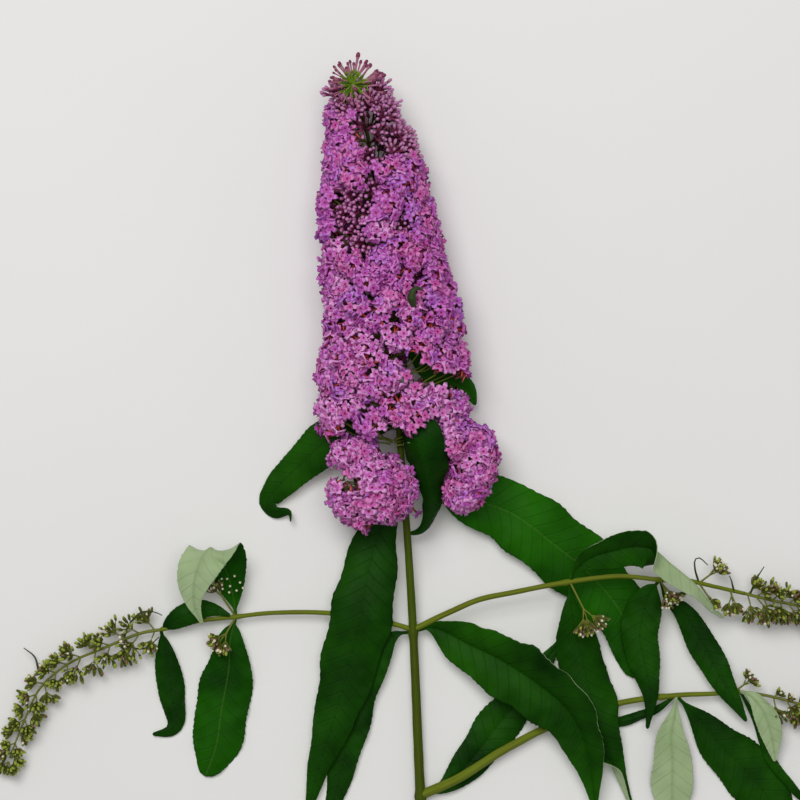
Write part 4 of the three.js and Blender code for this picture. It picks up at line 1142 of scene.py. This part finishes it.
def spike_cymes(bloom):
    """Opposite pairs of cymes up the axis, each pair turned a quarter from the last."""
    rng = bloom.rng
    spots, directions, _ = smooth_route(SPIKE["axis"], AXIS_STEPS)
    a_side = SPIKE["cymes_a_side"]
    for number, level in enumerate(np.linspace(SPIKE["first"], SPIKE["last"], SPIKE["pairs"])):
        for sign in (1, -1):
            middle = (0 if number % 2 == 0 else math.pi / 2) + (math.pi if sign < 0 else 0)
            for step in range(a_side):
                angle = middle + math.pi * (step - (a_side - 1) / 2) / a_side
                angle += rng.uniform(-CYME_TURN, CYME_TURN)
                place = level + rng.uniform(-CYME_SHIFT, CYME_SHIFT)
                index = int(round(place * (AXIS_STEPS - 1)))
                centre, direction = spots[index], directions[index]
                side = unit(np.cross(UP, direction))
                top = np.cross(direction, side)
                wide = along(SPIKE["half_widths"], place)
                high = along(SPIKE["half_heights"], place)
                out = side * math.cos(angle) * wide + top * math.sin(angle) * high
                outward = unit(side * math.cos(angle) / wide + top * math.sin(angle) / high)
                outward = unit(outward + direction * SPIKE_RISE)
                heart = centre + out - outward * (CYME_REACH + rng.uniform(*CYME_DEPTHS))
                root = centre - direction * STALK_FALL + out * 0.03
                elbow = root + (heart - root) * 0.5 - direction * ELBOW_FALL
                bloom.cyme(heart, outward, [root, elbow], tints_at(place))
    for place, aim in END_CYMES:
        heart, aim = floats(place), unit(aim)
        bloom.cyme(heart, aim, [heart - aim * END_STALK - SPIKE_END_AIM * END_STALK_FALL],
                   tints_at(1), END_CYME_FLOWERS, END_CYME_SPREAD)


def cluster_cymes(bloom):
    """Cymes all round the lumps of the two clusters below the spike."""
    for stalk, lumps in SIDE_CLUSTERS:
        bloom.green_stalks.add("cluster", stalk)
        fork = floats(stalk[-1])
        lumps = [(floats(centre), floats(radii)) for centre, radii in lumps]
        for centre, radii in lumps:
            count = int(4 * math.pi * (np.prod(radii) ** (2 / 3)) / CLUSTER_CYME_AREA)
            for index in range(count):
                height = 1 - (2 * index + 1) / count
                ring = math.sqrt(1 - height * height)
                ball = np.array([ring * math.cos(GOLDEN_ANGLE * index),
                                 ring * math.sin(GOLDEN_ANGLE * index), height])
                outward = unit(ball / radii)
                heart = centre + ball * radii - outward * CYME_REACH
                inside = any(np.linalg.norm((heart + outward * 6 - other) / size) < LUMP_OVERLAP
                             for other, size in lumps if other is not centre)
                if not inside:
                    bloom.cyme(heart, outward, [fork, (fork + heart) / 2 + UP], CLUSTER_TINTS,
                               CLUSTER_CYME_FLOWERS)


# ------------------------------------------------------------------ the spike's tip

TIP_ROOT = np.array([-31.0, 292.0, 26.0])
TIP_HEART = np.array([-32.5, 297.0, 41.0])
TIP_FACING = unit([-0.1, 0.25, 1.0])
# Its layers of stalks: how far they lean from the middle, how many, and how much lower they
# start.
TIP_LAYERS = [(0.5, 5, 0), (0.95, 11, 0.5), (1.3, 17, 2), (1.6, 20, 5), (1.85, 20, 9)]
TIP_MISSING = 0.12        # the share of them that is missing
TIP_TURN = 0.25           # how far one is out of its own place round the tip, in radians,
TIP_JITTER = 0.12         # and how far it leans out of it
TIP_STAR_LENGTH = 6.5
TIP_STAR_REACHES = (0.65, 1.1)    # shares of that length
TIP_BUD_LENGTH = 8.5
TIP_BUD_SIZES = (0.7, 1.1)
LONGER_RIGHT, SHORTER_LEFT = 1.25, 0.9    # times that on the two sides


def make_tip():
    """The spike's tip, seen almost end on: stalks that spread like a star, and the long buds
    on their ends."""
    rng = random.Random(31)
    stalks, buds = Paths(), Markers()
    stalks.add("tip", [TIP_ROOT, (TIP_ROOT + TIP_HEART) / 2, TIP_HEART])
    for layer, (lean, count, drop) in enumerate(TIP_LAYERS):
        foot = TIP_HEART - TIP_FACING * drop
        for index in range(count):
            if rng.random() < TIP_MISSING:
                continue
            angle = 2 * math.pi * (index + 0.5 * (layer % 2)) / count
            angle += rng.uniform(-TIP_TURN, TIP_TURN)
            across = np.array([math.cos(angle), math.sin(angle), 0.0])
            aim = jittered(TIP_FACING * math.cos(lean) + across * math.sin(lean), TIP_JITTER, rng)
            knee = foot + aim * (TIP_STAR_LENGTH * rng.uniform(*TIP_STAR_REACHES))
            stalks.add("star", [foot, knee])
            longer = LONGER_RIGHT if across[0] > 0.2 else SHORTER_LEFT
            size = longer * rng.uniform(*TIP_BUD_SIZES)
            buds.append((knee + aim * TIP_BUD_LENGTH * size, jittered(aim, 0.05, rng), 0, size))
    return stalks, buds


# ------------------------------------------------------------------ bud panicles and clusters

BUD_KINDS = {"green": ("bud_green", "bud_green", "bud_green", "bud_olive"),
             "olive": ("bud_green", "bud_olive", "bud_olive", "bud_olive"),
             "tan": ("bud_tan", "bud_tan", "bud_olive", "bud_olive"),
             "cream": ("bud_cream", "bud_cream", "bud_tan", "bud_olive")}
BUD_FLOOR = 1.2           # buds stay this high above the surface
SPRIG_FOOT = 0.25         # where a sprig bends along its reach,
SPRIG_FORK = 0.36         # where it forks, and up to how much further its buds' stalks part
SPRIG_LAST_FORK = 0.18
SPRIG_REACHES = (0.6, 1.1)
SPRIG_BUD_SIZES = (0.8, 1.15)
LOOSE_BUD_SIZE = 0.9
PANICLE_STEPS = 120
PANICLE_END = 0.93        # its last buds sit here and reach on to the end of its route
PANICLE_CROWDING = 1.15   # above 1, its pairs of sprigs crowd towards its end
PANICLE_TURNS = (-0.15, 0.75)    # how its pairs turn about it by turns, in radians
PANICLE_FORWARD = (0.4, 0.9)     # how far they lean towards its end
PANICLE_REACHES = (0.8, 1.05)
PANICLE_SPRIG_BUDS = (13, 21)
PANICLE_SPREAD = 0.9
PANICLE_LAST_SPRIG = (6, 10, 0.7)    # the reach, buds and spread of the one at its end
CLUSTER_SPRIGS = 3
CLUSTER_SPREAD = 0.6
CLUSTER_KINDS = (3, 2, 3, 4)


class BudBranches:
    """Stalks and buds of the panicles and the clusters in the leaf pairs."""

    def __init__(self):
        self.stalks = Paths()
        self.buds = {kind: Markers() for kind in BUD_KINDS}

    def sprig(self, foot, aim, reach, count, spread, kinds, rng):
        """A short forked stalk with a bunch of buds. kinds weighs how often each comes."""
        fork = foot + aim * reach * SPRIG_FORK
        self.stalks.add("sprig", [foot, foot + aim * reach * SPRIG_FOOT, fork])
        for direction in bunch_directions(aim, count, spread, rng):
            end = fork + direction * reach * (1 - SPRIG_FORK) * rng.uniform(*SPRIG_REACHES)
            if end[2] < BUD_FLOOR:
                end[2] = BUD_FLOOR + rng.random()
            start = fork + aim * reach * rng.uniform(0, SPRIG_LAST_FORK)
            self.stalks.add("bud", [start, end - direction * GREEN_BUD_FOOT])
            kind = rng.choices(tuple(self.buds), weights=kinds)[0]
            facing = jittered(direction, 0.1, rng)
            self.buds[kind].append((end, facing, 0, rng.uniform(*SPRIG_BUD_SIZES)))


def grow_panicles(branches):
    for panicle in PANICLES:
        rng = random.Random(panicle["seed"])
        spots, directions, sides, tops, _ = frames_along(panicle["route"], PANICLE_STEPS)
        branches.stalks.add("panicle", spots[:int(PANICLE_END * PANICLE_STEPS):3])
        pairs, kinds = panicle["pairs"], panicle["kinds"]
        for pair in range(pairs + 1):
            share = 1 - (1 - pair / pairs) ** PANICLE_CROWDING
            place = panicle["from"] + (PANICLE_END - panicle["from"]) * share
            index = int(place * (PANICLE_STEPS - 1))
            reach = along(panicle["reach"], place)
            turn = PANICLE_TURNS[pair % 2]
            for sign in (1, -1):
                out = (sign * sides[index] * math.cos(turn) + tops[index] * abs(math.sin(turn))
                       + directions[index] * rng.uniform(*PANICLE_FORWARD))
                size = panicle["upper"] if sign > 0 else 1
                branches.sprig(spots[index], unit(out), reach * size * rng.uniform(*PANICLE_REACHES),
                               int(rng.uniform(*PANICLE_SPRIG_BUDS) * size), PANICLE_SPREAD, kinds, rng)
        branches.sprig(spots[index], directions[index], *PANICLE_LAST_SPRIG, kinds, rng)


def grow_bud_clusters(branches):
    for number, (foot, heart, reach, count) in enumerate(BUD_CLUSTERS):
        rng = random.Random(100 + number)
        foot, heart = floats(foot), floats(heart)
        aim = unit(heart - foot)
        start = heart - aim * reach * 0.6
        branches.stalks.add("bud cluster", [foot, (foot + start) / 2, start])
        for direction in bunch_directions(aim, CLUSTER_SPRIGS, CLUSTER_SPREAD, rng):
            branches.sprig(start, direction, reach, count // CLUSTER_SPRIGS, CLUSTER_SPREAD,
                           CLUSTER_KINDS, rng)
    for place in LOOSE_BUDS:
        branches.buds["cream"].append((place, UP, 0, LOOSE_BUD_SIZE))


# ------------------------------------------------------------------ making it

def make_branch():
    """The stems and leaves, and a tree of the leaf points that flowers keep clear of."""
    for name, shape in STEMS.items():
        make_stem(name, shape, BARK if name == "main_stem" else BARK_PALE)
    surfaces = {name: make_leaf(name, leaf, LEAF_TOP_BRIGHT if name in BRIGHTER_LEAVES else LEAF_TOP)
                for name, leaf in LEAVES.items()}
    spots = np.vstack([surfaces[name].reshape(-1, 3) for name in LEAVES_IN_FLOWERS])
    tree = KDTree(len(spots))
    for index, spot in enumerate(spots):
        tree.insert(spot, index)
    tree.balance()
    return tree


def make_flowers(keep_clear):
    flower_nodes = [name for name in frame["nodes"] if name.startswith("flowers_")]
    bloom = Bloom(keep_clear)
    spike_cymes(bloom)
    cluster_cymes(bloom)
    bloom.strays()
    rng = random.Random(3)
    for tint, markers in bloom.blossoms.items():
        blossom = blossom_shape(f"blossom_pattern_{tint}", rng)
        make_scattered(f"blossoms_{tint}", markers, blossom,
                       ("flower_eye", f"petal_heart_{tint}", f"petal_rim_{tint}", "flower_tube",
                        "calyx"), flower_nodes, RUFFLE)
        bpy.data.objects.remove(blossom)
    bud = bud_shape("round_bud_pattern", ROUND_BUD)
    long_bud = bud_shape("long_bud_pattern", LONG_BUD)
    make_scattered("buds_in_spike", bloom.buds, bud,
                   ("bud_pink", "bud_rose", "bud_maroon", "bud_maroon", "bud_stalk_maroon"))
    make_scattered("long_buds_in_spike", bloom.long_buds, long_bud,
                   ("bud_pink", "bud_pink", "bud_pink_brown", "bud_maroon", "bud_stalk_maroon"))
    make_stalks("spike_stalks_dark", bloom.dark_stalks, "bud_stalk_maroon")
    make_stalks("spike_stalks_green", bloom.green_stalks, "stalk_green")
    tip_stalks, tip_buds = make_tip()
    make_scattered("buds_at_tip", tip_buds, long_bud,
                   ("bud_maroon", "bud_maroon", "bud_pink_brown", "bud_pink_brown",
                    "young_stalk_green"))
    make_stalks("tip_stalks", tip_stalks, "young_stalk_green")
    bpy.data.objects.remove(bud)
    bpy.data.objects.remove(long_bud)


def make_buds():
    bud_nodes = [name for name in frame["nodes"] if name.startswith("buds_")]
    branches = BudBranches()
    grow_panicles(branches)
    grow_bud_clusters(branches)
    bud = bud_shape("green_bud_pattern", GREEN_BUD)
    for kind, finishes in BUD_KINDS.items():
        make_scattered(f"panicle_buds_{kind}", branches.buds[kind], bud, finishes, bud_nodes)
    bpy.data.objects.remove(bud)
    make_stalks("panicle_stalks", branches.stalks, "stalk_green")


def make_bracts():
    bracts = Paths()
    for route in BRACTS:
        bracts.add("bract", smooth_route(route, 12)[0])
    leaflet = smooth_route(LEAFLET, 15)[0]
    bracts.add("leaflet foot", leaflet[:7])
    bracts.add("leaflet end", leaflet[6:])
    make_stalks("bracts", bracts, "bract")


make_flowers(make_branch())
make_buds()
make_bracts()


# ------------------------------------------------------------------ surface, light, camera

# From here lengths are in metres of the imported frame, but for the lens and the sensor.
LENS, SENSOR = 120.0, 36.0
FRAME_WIDTH = 0.44        # of the surface that the camera sees
TABLE_SIZE = 6.0
# Round lamps, each by its place, width and power. They face the same spot.
LIGHTS = {"window": ((-0.5, 0.85, 1.9), 1.0, 18.2), "ceiling": ((0.15, 0.4, 2.3), 1.3, 16.2)}
LIT_SPOT = np.array([0.0, 0.1, 0.0])


def make_table():
    finish, tree, shader = new_finish("white_paper", {"Specular IOR Level": 0.2, "Roughness": 0.85})
    paper = mixed(tree, noise_on(tree, 4.0), "e6e5e2", "ecebe9")
    wire_up(tree, shader, noise_on(tree, 400.0, 4.0), 0.00003, base=paper)
    size = TABLE_SIZE / 2
    corners = [(-size, -size, 0), (size, -size, 0), (size, size, 0), (-size, size, 0)]
    table = show("table_top", mesh_of("table_top", corners, [[0, 1, 2, 3]], (finish,)))


def make_lights():
    world = bpy.data.worlds.new("soft_room")
    world.use_nodes = True
    backdrop = world.node_tree.nodes["Background"]
    backdrop.inputs["Color"].default_value = (0.98, 0.98, 1.0, 1)
    backdrop.inputs["Strength"].default_value = 0.3
    bpy.context.scene.world = world
    for name, (place, width, power) in LIGHTS.items():
        lamp = bpy.data.lights.new(name, "AREA")
        lamp.shape = "DISK"
        lamp.size = width
        lamp.energy = power
        light = show(name, lamp)
        light.location = place
        light.rotation_euler = Vector(LIT_SPOT - place).to_track_quat("-Z", "Y").to_euler()


def make_camera():
    """A camera straight above the branch."""
    lens = bpy.data.cameras.new("overhead_camera")
    lens.lens = LENS
    lens.sensor_width = SENSOR
    camera = show("overhead_camera", lens)
    middle = in_frame((*VIEW_MIDDLE, 0))
    camera.location = (middle[0], middle[1], FRAME_WIDTH * LENS / SENSOR)
    bpy.context.scene.camera = camera


make_table()
make_lights()
make_camera()
bpy.context.scene.view_settings.view_transform = "Standard"
